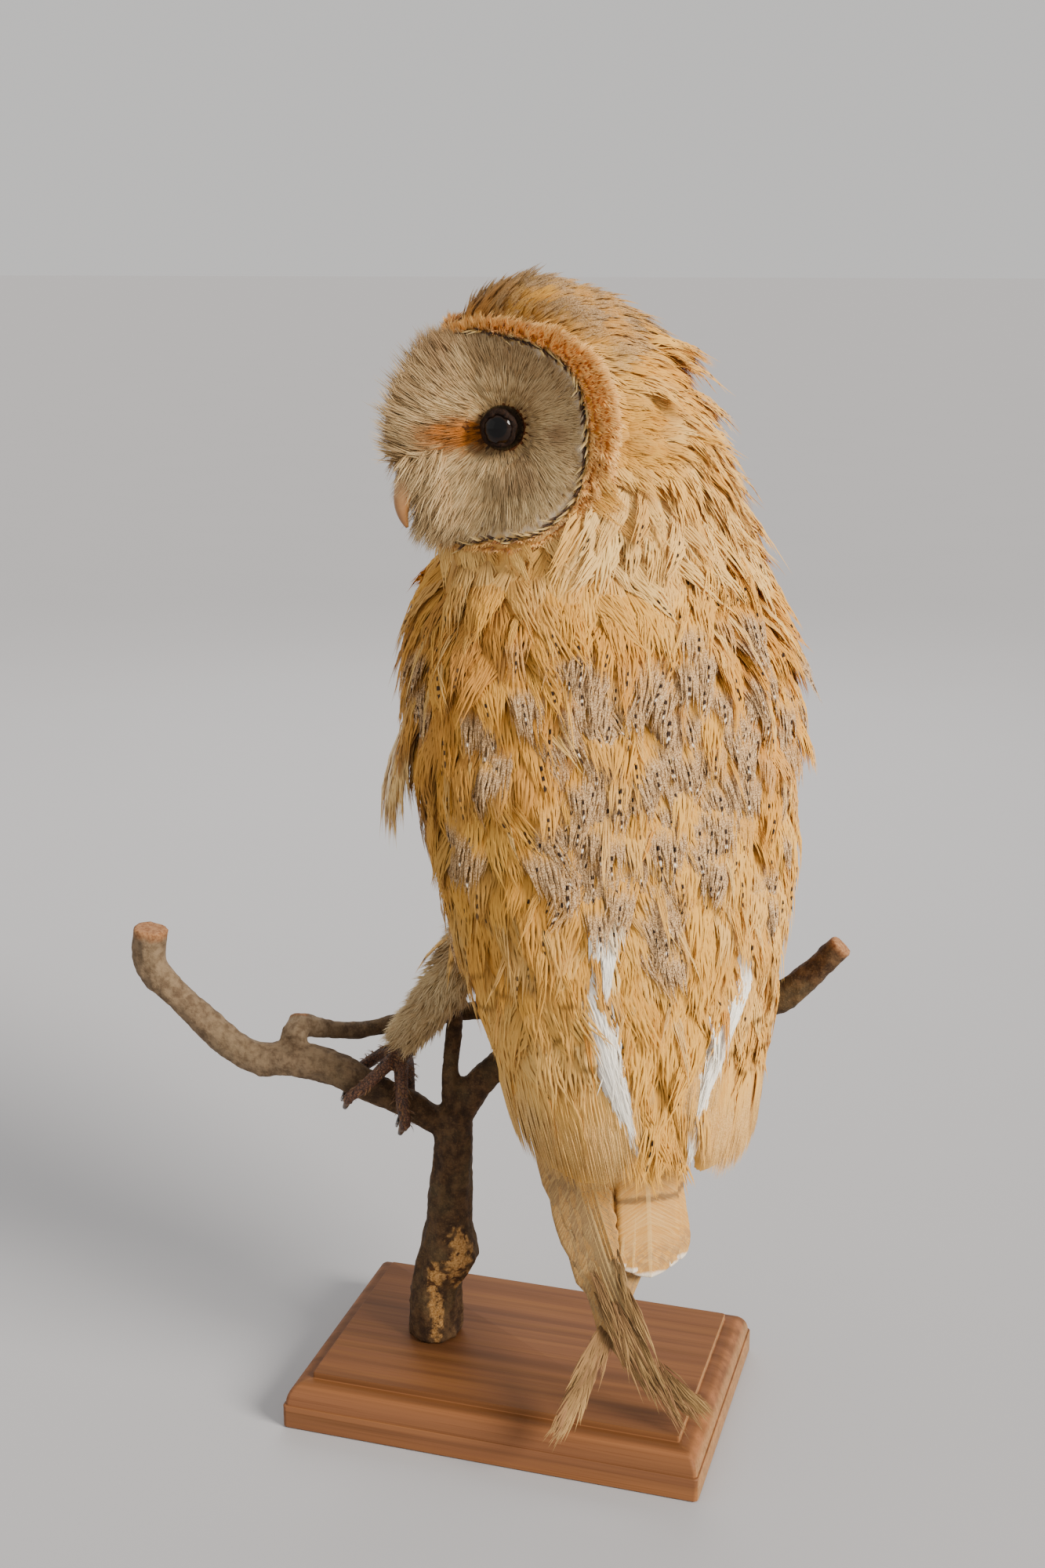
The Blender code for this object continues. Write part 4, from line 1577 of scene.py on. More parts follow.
def body_unwrap(points: Array) -> Array:
    """Where points lie on the unwrapped body."""
    az, z = body_angles(points)
    return np.stack([0.02 + 0.6 * (az % 360) / 360, 0.02 + 0.9 * (z - 90) / 300], 1)


def head_unwrap(points: Array) -> Array:
    """Where points lie on the unwrapped head."""
    az, el, _, _ = head_angles(points)
    return np.stack([0.65 + 0.33 * (az + 180) / 360, 0.02 + 0.9 * (el + 90) / 180], 1)


def swung(lie: Array, normals: Array, angles: Array) -> Array:
    """Directions turned about the skin's normal, by angles in radians."""
    return unit(lie * np.cos(angles)[:, None] + np.cross(normals, lie) * np.sin(angles)[:, None])


@dataclass
class BodyCoat:
    """The contour feathers of neck, mantle, wings, breast and rump."""

    coats: Coats
    sower: Sower
    finish: Material
    row_step: float = 5.4
    column_gap: float = 5.8
    aim: tuple[float, float, float] = (-2.0, 38.0, 20.0)
    limit: int = 430

    def plumes(self) -> Plumes:
        """All the body's contour feathers.

        Returns:
            The feathers.
        """
        roots, normals = self.sower.round_body(101, 326, self.row_step, self.column_gap)
        az, z = body_angles(roots)
        _, _, far, rho = head_angles(roots)
        p = moved(roots, OWL.inverted()) / MM
        on_head = (far < 57) & ((rho < 1.07) | (z > 322))
        on_leg = (p[:, 1] < -2) & (z < 168)
        wing_end = 155 + 12 * clouds(roots, 9 * MM, 19) + self.sower.chance.normal(0, 3, len(z))
        under_wing = (z < wing_end) & (np.abs(off_spine(az) - 75) < 50)
        under_tail = (z < 119) & (off_spine(az) < 45)
        beside_tail = (z < 142) & (az > 101) & (az < 135)
        keep = ~on_head & ~on_leg & ~under_wing & ~under_tail & ~beside_tail
        roots, normals, az, z = roots[keep], normals[keep], az[keep], z[keep]
        n = len(roots)
        chance = self.sower.chance
        back = off_spine(az)
        aim = moved(np.array(self.aim) * MM, OWL)
        lie = flat_on(aim - roots, normals)
        loose = ramp(z, 250, 300)
        swirl = clouds(roots, 15 * MM, 11) * np.radians(19 + 20 * loose)
        lie = swung(lie, normals, swirl + chance.normal(0, 1, n) * np.radians(7 + 5 * loose))
        rump = (1 - ramp(z, 150, 180)) * (back < 40)
        low = (1 - ramp(z, 185, 205)) * (back > 35) * (back < 120)
        over_tail = (1 - ramp(z, 120, 142)) * (back < 45)
        length = 23.5 + 0.5 * loose + 4 * rump + 2 * low - 6 * ramp(back, 100, 130) - 10 * over_tail
        width = 12.5 - 2.5 * loose - 4.0 * rump + 0.5 * low - 2 * ramp(back, 100, 130)
        vary = chance.uniform(0.87, 1.13, n)
        lift = np.radians(7.5 + 4.5 * loose - 1.0 * low) + chance.normal(0, np.radians(2.0), n)
        marks = self.sower.marks.at(roots + lie * (length * 0.72 * MM)[:, None])
        marks["speck"] = marks["speck"] * (chance.uniform(0, 1, n) < 0.45 + 0.45 * marks["grey"])
        marks["bar"] = low * (chance.uniform(0, 1, n) < 0.5)
        sizes = length * vary * MM, width * vary * MM
        return Plumes(roots, normals, lie, *sizes, lift, body_unwrap(roots), marks)

    def build(self) -> list[Piece]:
        """The body's coat in its pieces.

        Returns:
            The pieces.
        """
        plumes = self.plumes()
        az, z = body_angles(plumes.root)
        back = (az - 90 + 180) % 360 - 180
        silky = VaneShape("silky", barbs=40, barb_width=0.062, round_end=0.45, close=0.45, wisp=0.1, fray=0.13,
            variants=8, seed=3)
        firm = VaneShape("firm", barbs=44, barb_width=0.06, round_end=0.42, close=0.28, wisp=0.06, fray=0.09,
            variants=8, seed=4)
        regions = {
            "coat_neck": ((z >= 272), silky),
            "coat_mantle": ((z < 272) & (z >= 178) & (np.abs(back) < 62), firm),
            "coat_wing_left": ((z < 272) & (back < -62) & (back > -150) & (z >= 105), firm),
            "coat_wing_right": ((z < 272) & (back > 62) & (back < 150) & (z >= 105), firm),
            "coat_breast": ((z < 272) & (np.abs(back) >= 150), silky),
            "coat_rump": ((z < 178) & (np.abs(back) < 62), silky),
        }
        made = []
        for name, (keep, shape) in regions.items():
            part = plumes.pick(keep)
            chunks = max(1, math.ceil(len(part) / self.limit))
            order = np.argsort(body_angles(part.root)[1])
            for i, chunk in enumerate(np.array_split(order, chunks)):
                label = name if chunks == 1 else f"{name}_{i + 1}"
                made.append(self.coats.grow(label, part.pick(chunk), shape, self.finish, "body_plumage"))
        made.append(self.wisps(plumes))
        return made

    def wisps(self, plumes: Plumes) -> Piece:
        """Slender pale locks that have slipped over the other feathers.

        Args:
            plumes: The body's feathers.

        Returns:
            The piece.
        """
        chance = self.sower.chance
        az, z = body_angles(plumes.root)
        back = off_spine(az)
        open_ = np.flatnonzero((back < 125) & (z > 165) & (z < 285))
        part = plumes.pick(chance.choice(open_, 190, replace=False))
        n = len(part)
        part.lie = swung(part.lie, part.normal, chance.normal(0, 0.19, n))
        part.root = part.root + part.normal * 1.2 * MM
        part.length = part.length * chance.uniform(0.75, 1.05, n)
        part.width = 3.6 * MM * chance.uniform(0.6, 1.2, n)
        part.lift = part.lift + np.radians(2.5)
        zero = np.zeros(n)
        part.marks = {**part.marks, "pale": 0.55 * chance.uniform(0, 1, n), "grey": zero, "speck": zero,
                      "warm": 0.6 * (chance.uniform(0, 1, n) < 0.25)}
        shape = VaneShape("wisp", barbs=12, barb_width=0.11, round_end=0.6, close=0.6, wisp=0.12, fray=0.15,
            camber=0.05, variants=8, seed=17)
        return self.coats.grow("coat_wisps", part, shape, self.finish, "body_plumage")


@dataclass
class HeadCoat:
    """The feathers of crown, nape and cheeks, the facial disc, and the ruff round it."""

    coats: Coats
    sower: Sower
    plumage: Material
    hair: Material
    ruffs: dict[str, Material]
    crown_count: int = 4300
    crown_chunk: int = 1700
    disc_count: int = 17000
    disc_chunk: int = 3900
    ring_from: float = 5.6
    ring_to: float = 12.4
    ruff_gap: float = 1.15
    ruff_rows: int = 6
    bristle_count: int = 640
    # degrees round and up, and how many feathers, of each ruffled tuft
    tuft_groups: tuple[tuple[int, int, int], ...] = (
        (156, 30, 9), (148, 34, 7), (158, -7, 9), (150, 12, 6), (135, 4, 6), (120, 22, 5)
    )
    # name, gap, reach on the disc, length, width, how far inwards they lean, degrees up, and finish
    stiff_rows: tuple[tuple[str, float, float, float, float, float, float, str], ...] = (
        ("ruff_straw", 2.6, 1.014, 6.4, 1.6, 0.42, 12, "straw"),
        ("ruff_dark", 1.15, 1.004, 3.8, 1.5, 0.2, 22, "dark")
    )

    def crown(self) -> list[Piece]:
        """Short feathers that lie back over the crown and down the nape.

        Returns:
            The pieces.
        """
        roots, normals = self.sower.round_head(self.crown_count)
        az, el, far, rho = head_angles(roots)
        _, z = body_angles(roots)
        chin = (rho > 1.015) & (el < -14) & (z > 298)
        keep = ((rho > 1.13) & (z > 318)) | chin
        roots, normals, az, el, far, rho = (v[keep] for v in (roots, normals, az, el, far, rho))
        p = moved(roots, HEAD.inverted()) / MM
        behind = ramp(p[:, 1], 0, 42)
        down = 0.9 * behind + 0.5 * ramp(-el, -5, 30)
        way = unit(p - FOREHEAD) - down[:, None] * np.array((0, 0, 1.0))
        lie = flat_on(turned(way, HEAD), normals)
        n = len(roots)
        chance = self.sower.chance
        swirl = clouds(roots, 13 * MM, 12) * np.radians(14 + 16 * behind) + chance.normal(0, np.radians(6), n)
        lie = swung(lie, normals, swirl)
        length = (8.5 + 8.0 * behind) * chance.uniform(0.85, 1.2, n)
        width = (4.6 + 2.2 * behind) * chance.uniform(0.85, 1.15, n)
        lift = np.radians(15 + 3 * behind) + chance.normal(0, np.radians(4), n)
        marks = self.sower.marks.at(roots + lie * (length * 0.5 * MM)[:, None])
        marks["speck"] = marks["speck"] * chance.choice((0.0, 0.8, 1.0), n, p=(0.45, 0.25, 0.3))
        plumes = Plumes.on_head(roots, normals, lie, length, width, lift, marks)
        shape = VaneShape("crown_vane", barbs=11, barb_width=0.13, round_end=0.3, close=0.2, wisp=0.06,
            fray=0.09, variants=5, seed=5)
        below = np.flatnonzero(chin[keep])
        above = np.setdiff1d(np.argsort(p[:, 1]), below, assume_unique=True)
        made = []
        for i, part in enumerate(np.array_split(above, max(1, math.ceil(n / self.crown_chunk)))):
            name = f"coat_crown_{i + 1}"
            made.append(self.coats.grow(name, plumes.pick(part), shape, self.plumage, "body_plumage"))
        beard = plumes.pick(below[::3])
        beard.length, beard.width = beard.length * 1.45, beard.width * 1.3
        soft = VaneShape("chin_vane", barbs=22, barb_width=0.075, round_end=0.5, close=0.45, wisp=0.09,
            fray=0.12, variants=5, seed=20)
        made.append(self.coats.grow("coat_chin", beard, soft, self.plumage, "body_plumage"))
        return made

    def tufts(self) -> Piece:
        """The ruffled tufts that stand off the back of the head.

        Returns:
            The piece.
        """
        chance = self.sower.chance
        hits = []
        for az, el, count in self.tuft_groups:
            for _ in range(count):
                hits.append(self.sower.outward(az + chance.normal(0, 3.5), el + chance.normal(0, 3.0)))
        roots, normals = parted(hits)
        n = len(roots)
        p = moved(roots, HEAD.inverted()) / MM
        lie = flat_on(turned(unit(p - FOREHEAD) + np.array((0, 0.1, -0.75)), HEAD), normals)
        lie = swung(lie, normals, chance.normal(0, 0.18, n))
        marks = self.sower.marks.at(roots + lie * 9 * MM)
        marks["pale"] = np.maximum(marks["pale"], 0.35 * chance.uniform(0, 1, n))
        length, width = chance.uniform(16, 23, n), chance.uniform(5.5, 8, n)
        lift = np.radians(chance.uniform(20, 31, n))
        plumes = Plumes.on_head(roots, normals, lie, length, width, lift, marks)
        shape = VaneShape("tuft", barbs=22, barb_width=0.08, round_end=0.5, close=0.5, wisp=0.12, fray=0.14,
            curl=0.12, variants=6, seed=19)
        return self.coats.grow("coat_tufts", plumes, shape, self.plumage, "body_plumage")

    def disc(self) -> list[Piece]:
        """Fine hair-like feathers that spread from each eye over the face.

        Returns:
            The pieces.
        """
        roots, normals = self.sower.round_head(self.disc_count)
        az, el, _, rho = head_angles(roots)
        p = moved(roots, HEAD.inverted()) / MM
        side = np.where(p[:, 0] >= 0, 1.0, -1.0)
        rel, q = round_eye(p)
        keep = (rho < 0.955) & (np.abs(az) < 93) & (q > 4.9) & (from_bill(p) > 5.0)
        roots, normals, az, el, rho, p, q, rel, side = (v[keep]
            for v in (roots, normals, az, el, rho, p, q, rel, side))
        n = len(roots)
        chance = self.sower.chance
        ridge = 1 - ramp(np.abs(az), 5, 20)
        way = unit(rel) + ridge[:, None] * np.stack([np.zeros(n), np.full(n, -0.35), 0.9 * np.sign(el + 12)], 1)
        lie = flat_on(turned(way, HEAD), normals)
        swirl = clouds(roots, 9 * MM, 13) * np.radians(10) + chance.normal(0, np.radians(5), n)
        lie = swung(lie, normals, swirl)
        length = 8.4 + 3.2 * ridge + 2.6 * ramp(q, 9, 20) - 6.0 * ramp(rho, 0.74, 0.95)
        length = length * chance.uniform(0.75, 1.2, n)
        rise = 1 - ramp(q, 6, 11)
        lift = np.radians(9 + 22 * ridge + 27 * rise) + chance.normal(0, np.radians(4), n)
        length = length * (1 - 0.25 * rise)
        tips = p + turned(lie, HEAD.inverted()) * (0.45 * length)[:, None]
        rust = rusty(tips, side, chance)
        lash = 1 - ramp(q + 0.5 * chance.normal(0, 1, n), 5.2, 6.8)
        # browner below and behind the eyes and over the brow, and painted shade on the bird's right half of the
        # disc
        low = 1 - ramp(np.hypot((p[:, 0] * side - 20) / 6, (p[:, 2] + 9) / 5.5), 0.5, 1.3)
        behind = 1 - ramp(np.hypot((p[:, 0] * side - 27.5) / 3, (p[:, 2] - 0.5) / 3), 0.5, 1.3)
        grime = 0.35 * low + 0.4 * behind + 0.30 * ramp(p[:, 2], 4, 22) + 0.1 + 0.2 * ramp(-p[:, 0], -15, -6)
        grime = np.clip(grime + 0.18 * clouds(roots, 7 * MM, 14), 0, 0.8)
        marks = {"rust": np.clip(rust * 0.95, 0, 1), "grime": grime * (1 - rust), "lash": lash}
        plumes = Plumes.on_head(roots, normals, lie, length, 2.3, lift, marks)
        shape = LockShape("disc_lock", barbs=6, barb_width=0.115, camber=0.02, curl=0.06, thick=0.012, fan=0.5,
            variants=4, seed=6)
        made = []
        for i, part in enumerate(np.array_split(np.argsort(p[:, 0]), max(1, math.ceil(n / self.disc_chunk)))):
            name = f"disc_hairs_{i + 1}"
            made.append(self.coats.grow(name, plumes.pick(part), shape, self.hair, "face_plumage"))
        return made

    def eye_rings(self) -> Piece:
        """Hairs in rings that spread from the lids of both eyes.

        Returns:
            The piece.
        """
        chance = self.sower.chance
        found = []
        for side in Side:
            heart, gaze, across, up = eye_frame(side)
            for q in np.arange(self.ring_from, self.ring_to, 0.85):
                for a in np.arange(0, 2 * math.pi, 0.8 / q):
                    turn, far = a + chance.normal(0, 0.4 / q), q + chance.normal(0, 0.2)
                    out = across * math.cos(turn) + up * math.sin(turn)
                    start = moved((heart + out * far + gaze * 22) * MM, HEAD)
                    hit = self.sower.cast(start, turned(-gaze, HEAD), 0.045)
                    if hit is not None:
                        found.append((*hit, unit(out + gaze * (0.75 - 0.05 * far)), far, side.value))
        roots, normals, way, q, side = (np.array([f[k] for f in found]) for k in range(5))
        local = moved(roots, HEAD.inverted()) / MM
        keep = from_bill(local) > 6
        roots, normals, way, q, side, local = (v[keep] for v in (roots, normals, way, q, side, local))
        n = len(roots)
        world = turned(way, HEAD)
        facing = flat_on(normals, world)
        tips = local + way * 4
        rust = rusty(tips, side, chance)
        below = ramp(-local[:, 2], -1, 5) * (1 - ramp(q, 8, 11))
        lash = np.clip(1 - ramp(q + 0.4 * chance.normal(0, 1, n), 5.0, 6.5) + 0.3 * below, 0, 1)
        marks = {"rust": rust, "grime": 0.4 * chance.uniform(0, 1, n) * (1 - rust), "lash": lash}
        length = chance.uniform(4.5, 7.5, n) * (0.6 + 0.05 * q)
        plumes = Plumes.on_head(roots, facing, world, length, 2.2, np.zeros(n), marks)
        shape = LockShape("ring_lock", barbs=5, barb_width=0.13, camber=0.02, curl=0.05, thick=0.014, fan=0.45,
            variants=4, seed=18)
        return self.coats.grow("eye_ring_hairs", plumes, shape, self.hair, "face_plumage")

    def rim(self, gap: float, reach: float) -> tuple[Array, Array, Array, Array]:
        """Roots along the disc's rim.

        Args:
            gap: Space between roots in mm.
            reach: How far out on the disc, where 1 is its rim.

        Returns:
            Roots, normals, the way out of the disc, and the way down along the rim.
        """
        hits = []
        for phi in np.radians(np.arange(90, -270, -0.5)):
            c, s = math.cos(phi), math.sin(phi)
            az = 90 * math.copysign(abs(c) ** (2 / 3), c) * reach
            el = float(disc_tall(az, s)) * math.copysign(abs(s) ** (2 / 3), s) * reach
            hit, beyond = self.sower.outward(az, el), self.sower.outward(az * 1.06, el * 1.06)
            if hit is not None and beyond is not None:
                hits.append((hit, beyond))
        pts = np.array([hit[0] for hit, _ in hits])
        run = np.concatenate([[0], np.cumsum(np.minimum(np.linalg.norm(np.diff(pts, axis=0), axis=1), 3 * MM))])
        at = np.searchsorted(run, np.arange(0, run[-1], gap * MM) + self.sower.chance.uniform(0, gap * MM))
        at = at[at < len(pts) - 1]
        normals = np.array([hits[i][0][1] for i in at])
        out = flat_on(np.array([hits[i][1][0] - hits[i][0][0] for i in at]), normals)
        down = flat_on(np.gradient(pts, axis=0)[at], normals)
        local = turned(down, HEAD.inverted())
        down = down * np.where(local[:, 2] > 0, -1, 1)[:, None]
        return pts[at], normals, out, down

    def ruff(self) -> list[Piece]:
        """The thick velvety ruff, the dark broken line inside it and the stiff straw-coloured feathers.

        Returns:
            The pieces.
        """
        chance = self.sower.chance
        sets = []
        for row in range(self.ruff_rows):
            roots, normals, out, down = self.rim(self.ruff_gap, 1.015 + 0.022 * row)
            n = len(roots)
            local = moved(roots, HEAD.inverted()) / MM
            thin = 1 - 0.45 * (1 - ramp(local[:, 2], -30, -14))
            lie = swung(unit(out + 0.45 * down), normals, chance.normal(0, 0.25, n)
                + clouds(roots, 5 * MM, 15) * 0.4)
            lift = np.radians(56 - 7 * row) + chance.normal(0, 0.16, n)
            length = (5.6 - 0.2 * row) * thin * chance.uniform(0.8, 1.15, n)
            some = (local[:, 2] > -27 - 3 * (row < 4)) | (row < 2)
            sets.append([v[some] for v in (roots, normals, lie, length, lift)])
        roots, normals, lie, length, lift = (np.concatenate([s[k] for s in sets]) for k in range(5))
        plumes = Plumes.on_head(roots, normals, lie, length, 2.4, lift)
        velvet = LockShape("velvet", barbs=8, barb_width=0.2, camber=0.05, curl=0.12, thick=0.03, fan=0.5,
            variants=5, seed=8)
        made = [self.coats.grow("ruff", plumes, velvet, self.ruffs["ruff"], "face_plumage")]
        for name, gap, reach, long, wide, inward, rise, finish in self.stiff_rows:
            roots, normals, out, down = self.rim(gap, reach)
            n = len(roots)
            lie = swung(unit(down - inward * out), normals, chance.normal(0, 0.22, n))
            length = long * chance.uniform(0.75, 1.2, n)
            lift = np.radians(rise) + chance.normal(0, 0.06, n)
            plumes = Plumes.on_head(roots + normals * 0.5 * MM, normals, lie, length, wide, lift)
            plumes.patch = head_unwrap(roots)
            stiff = LockShape(f"{name}_lock", barbs=3, barb_width=0.42, camber=0.02, curl=0.1, thick=0.03,
                fan=0.2, variants=3, seed=9)
            made.append(self.coats.grow(name, plumes, stiff, self.ruffs[finish], "face_plumage"))
        return made

    def bristles(self) -> Piece:
        """Stiff pale bristles that arch forward over the root of the bill.

        Returns:
            The piece.
        """
        chance = self.sower.chance
        hits, lie = [], []
        for k in range(self.bristle_count):
            side = 1 if k % 2 else -1
            hit = self.sower.outward(side * chance.uniform(0, 15), chance.uniform(-36, -4))
            if hit is None:
                continue
            hits.append(hit)
            if moved(hit[0], HEAD.inverted())[2] / MM > -16:
                lie.append((side * chance.uniform(-0.15, 0.35), -0.55, -0.75 + 0.2 * chance.normal()))
            else:
                lie.append((side * chance.uniform(0.1, 0.6), -0.45, -0.8))
        roots, normals = parted(hits)
        n = len(roots)
        lie = flat_on(turned(np.array(lie, float), HEAD), normals)
        hang = chance.uniform(0, 1, n) < 0.45
        local = moved(roots, HEAD.inverted()) / MM
        hang &= (local[:, 2] > -24) & (np.abs(local[:, 0]) < 9)
        aside, ahead = np.sign(local[:, 0]) * chance.uniform(-0.05, 0.22, n), chance.normal(-0.42, 0.1, n)
        free = turned(unit(np.stack([aside, ahead, np.full(n, -0.88)], 1)), HEAD)
        lie = np.where(hang[:, None], free, lie)
        normals = np.where(hang[:, None], flat_on(normals, free), normals)
        marks = {"rust": 0.18 * chance.uniform(0, 1, n), "grime": 0.25 * chance.uniform(0, 1, n)}
        length = chance.uniform(7, 14.5, n)
        lift = np.radians(np.where(hang, chance.normal(0, 6, n), chance.uniform(10, 42, n)))
        plumes = Plumes.on_head(roots, normals, lie, length, 3.0, lift, marks)
        shape = LockShape("bristle", barbs=3, barb_width=0.13, camber=0.0, curl=0.16, thick=0.014, fan=0.35,
            variants=4, seed=10)
        return self.coats.grow("bill_bristles", plumes, shape, self.hair, "face_plumage")


@dataclass
class LegCoat:
    """The fluff of the legs and the fine bristles of the toes."""

    coats: Coats
    sower: Sower
    down: Material
    bristle: Material
    tries: int = 1500
    toe_count: int = 420
    left: Rows = ((32.7, -2, 190), (46.4, -12.3, 160), (57.1, -18.5, 142), (65.6, -22, 128.5))
    right: Rows = ((-30, -3, 190), (-36.5, -9, 160), (-38.5, -9, 150), (-39, -8.5, 144.5))

    def fluff(self) -> Piece:
        """Hair-like feathers that run down both legs.

        Returns:
            The piece.
        """
        chance = self.sower.chance
        found = []
        for rows in (self.left, self.right):
            table = np.array(rows, float)
            for _ in range(self.tries):
                t = chance.uniform(0, len(table) - 1.001)
                i = int(t)
                heart = table[i] + (table[i + 1] - table[i]) * (t - i)
                run = unit(table[i + 1] - table[i])
                way = unit(np.cross(run, chance.normal(0, 1, 3)))
                world = moved(heart * MM, OWL)
                hit = self.sower.cast(world, turned(way, OWL), 0.017)
                if hit is not None:
                    found.append((*hit, turned(run, OWL), t))
        roots, normals, run, t = (np.array([f[k] for f in found]) for k in range(4))
        n = len(roots)
        lie = swung(flat_on(run, normals), normals, chance.normal(0, 0.28, n) + clouds(roots, 8 * MM, 16) * 0.4)
        length = (10.5 - 1.3 * t) * chance.uniform(0.75, 1.25, n)
        marks = {"grime": np.clip(0.15 + 0.25 * clouds(roots, 8 * MM, 17), 0, 1)}
        lift = np.radians(23) + chance.normal(0, 0.14, n)
        plumes = Plumes(roots, normals, lie, length * MM, np.full(n, 2.6 * MM), lift, body_unwrap(roots), marks)
        shape = LockShape("leg_lock", barbs=5, barb_width=0.17, camber=0.04, curl=0.1, thick=0.02, fan=0.5,
            variants=4, seed=11)
        return self.coats.grow("leg_fluff", plumes, shape, self.down, "leg_down")

    def toe_bristles(self, skin: Piece) -> Piece:
        """Sparse short bristles on the toes.

        Args:
            skin: The skin with its toes.

        Returns:
            The piece.
        """
        chance = np.random.default_rng(21)
        faces = [f for f in skin.data.polygons if f.material_index == 1 and f.normal.z > -0.35]
        some = [faces[i] for i in chance.choice(len(faces), self.toe_count, replace=False)]
        roots, normals = np.array([f.center for f in some]), np.array([f.normal for f in some])
        n = len(roots)
        pads = np.array([np.array(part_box(f"foot_{s.name.lower()}")).mean(0) for s in Side])
        pads[:, 2] = [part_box(f"foot_{s.name.lower()}")[1].z for s in Side]
        near = pads[np.argmin(np.linalg.norm(roots[:, None] - pads[None], axis=2), axis=1)]
        lie = swung(flat_on(roots - near, normals), normals, chance.normal(0, 0.35, n))
        marks = {"grime": chance.uniform(0.3, 0.9, n)}
        length, lift = chance.uniform(2.2, 4.4, n), np.radians(chance.uniform(14, 34, n))
        plumes = Plumes(roots - normals * 0.1 * MM, normals, lie, length * MM, np.full(n, 1.5 * MM), lift,
                        body_unwrap(roots), marks)
        shape = LockShape("toe_bristle", barbs=2, barb_width=0.16, camber=0.0, curl=0.12, thick=0.02, fan=0.4,
            variants=3, seed=12)
        return self.coats.grow("toe_bristles", plumes, shape, self.bristle, "leg_down")


# ---------------------------------------------------------------- long feathers


@dataclass
class Feather:
    """One long feather: its path in mm in the owl's frame, the way its face looks, and its width.

    Marks are pale, dusty, bars and frayed, each 0 to 1.
    """

    path: Sequence[Sequence[float]]
    facing: Sequence[float]
    width: float
    round_tip: float = 0.25
    camber: float = 0.12
    fray: float = 0.15
    pale: float = 0.0
    dusty: float = 0.0
    bars: float = 0.0
    frayed: float = 0.0
    ochre: float = 0.2
    rows: int = 30
    seed: int = 0

    def curve(self) -> Array:
        """Its path as evenly stepped points, in metres.

        Returns:
            The points.
        """
        p = np.array(self.path, float)
        keys = run_along(p)
        slopes = np.gradient(p, keys, axis=0)
        out = []
        for at in keys[-1] * (1 - (1 - np.linspace(0, 1, self.rows)) ** 1.7):
            i = int(np.clip(np.searchsorted(keys, at) - 1, 0, len(keys) - 2))
            h = keys[i + 1] - keys[i]
            t = (at - keys[i]) / h
            out.append((2 * t**3 - 3 * t**2 + 1) * p[i] + (t**3 - 2 * t**2 + t) * h * slopes[i]
                       + (3 * t**2 - 2 * t**3) * p[i + 1] + (t**3 - t**2) * h * slopes[i + 1])
        return np.array(out) * MM

    def mesh(self) -> tuple[Array, list, dict[str, Array]]:
        """Vertices, faces and marks of the feather, a thin closed vane with a ridge for its shaft.

        Returns:
            Vertices in metres, faces, and the marks at each vertex.
        """
        chance = np.random.default_rng(self.seed + 500)
        heart = self.curve()
        ahead = unit(np.gradient(heart, axis=0))
        face = unit(np.array(self.facing, float))
        facing = unit(face - (ahead @ face)[:, None] * ahead)
        side = np.cross(ahead, facing)
        columns = np.array((-1, -0.82, -0.5, -0.1, 0, 0.1, 0.5, 0.82, 1.0))
        m = len(columns)
        run = run_along(heart)
        verts, marks = [], {key: [] for key in ("along", "across", "run")}
        for i in range(self.rows):
            t = run[i] / run[-1]
            tip = math.sqrt(max(0.0, 1 - max(0.0, (t - 1 + self.round_tip) / self.round_tip) ** 2))
            w = self.width / 2 * MM * (0.55 + 0.45 * min(1, t / 0.25)) * max(tip, 0.04)
            nicks = 1 - self.fray * chance.uniform(0, 1, 2) ** 3 * (0.4 + t)
            for c in columns:
                reach = c * (nicks[0] if c < 0 else nicks[1]) if abs(c) > 0.7 else c
                rise = self.camber * self.width * MM * (1 - c * c) * 0.5
                shaft = 0.22 * MM if c == 0 else 0.0
                verts.append(heart[i] + side[i] * w * reach + facing[i] * (rise + shaft))
                marks["along"].append(t)
                marks["across"].append(c)
                marks["run"].append(run[i])
        top = len(verts)
        verts = np.array(verts)
        thin = np.array([0.10 if abs(c) == 1 else 0.28 for c in columns] * self.rows)[:, None] * MM
        verts = np.vstack([verts, verts - np.repeat(facing, m, axis=0) * thin])
        marks = {key: np.array(values + values) for key, values in marks.items()}
        faces = []
        for i in range(self.rows - 1):
            for k in range(m - 1):
                a = i * m + k
                faces.append((a, a + 1, a + m + 1, a + m))
                faces.append((a + top + m, a + top + m + 1, a + top + 1, a + top))
        for i in range(self.rows - 1):
            a, b = i * m, i * m + m - 1
            faces.append((a, a + m, a + m + top, a + top))
            faces.append((b + top, b + m + top, b + m, b))
        for k in range(m - 1):
            a = (self.rows - 1) * m + k
            faces.append((k + 1, k, k + top, k + 1 + top))
            faces.append((a, a + 1, a + 1 + top, a + top))
        n = len(verts)
        shade = chance.uniform(0, 1)
        marks["shade"] = np.full(n, shade)
        for key in ("pale", "dusty", "bars", "ochre"):
            marks[key] = np.full(n, getattr(self, key))
        marks["frayed"] = self.frayed * ramp(marks["along"], 0.55, 0.95)
        return verts, faces, marks


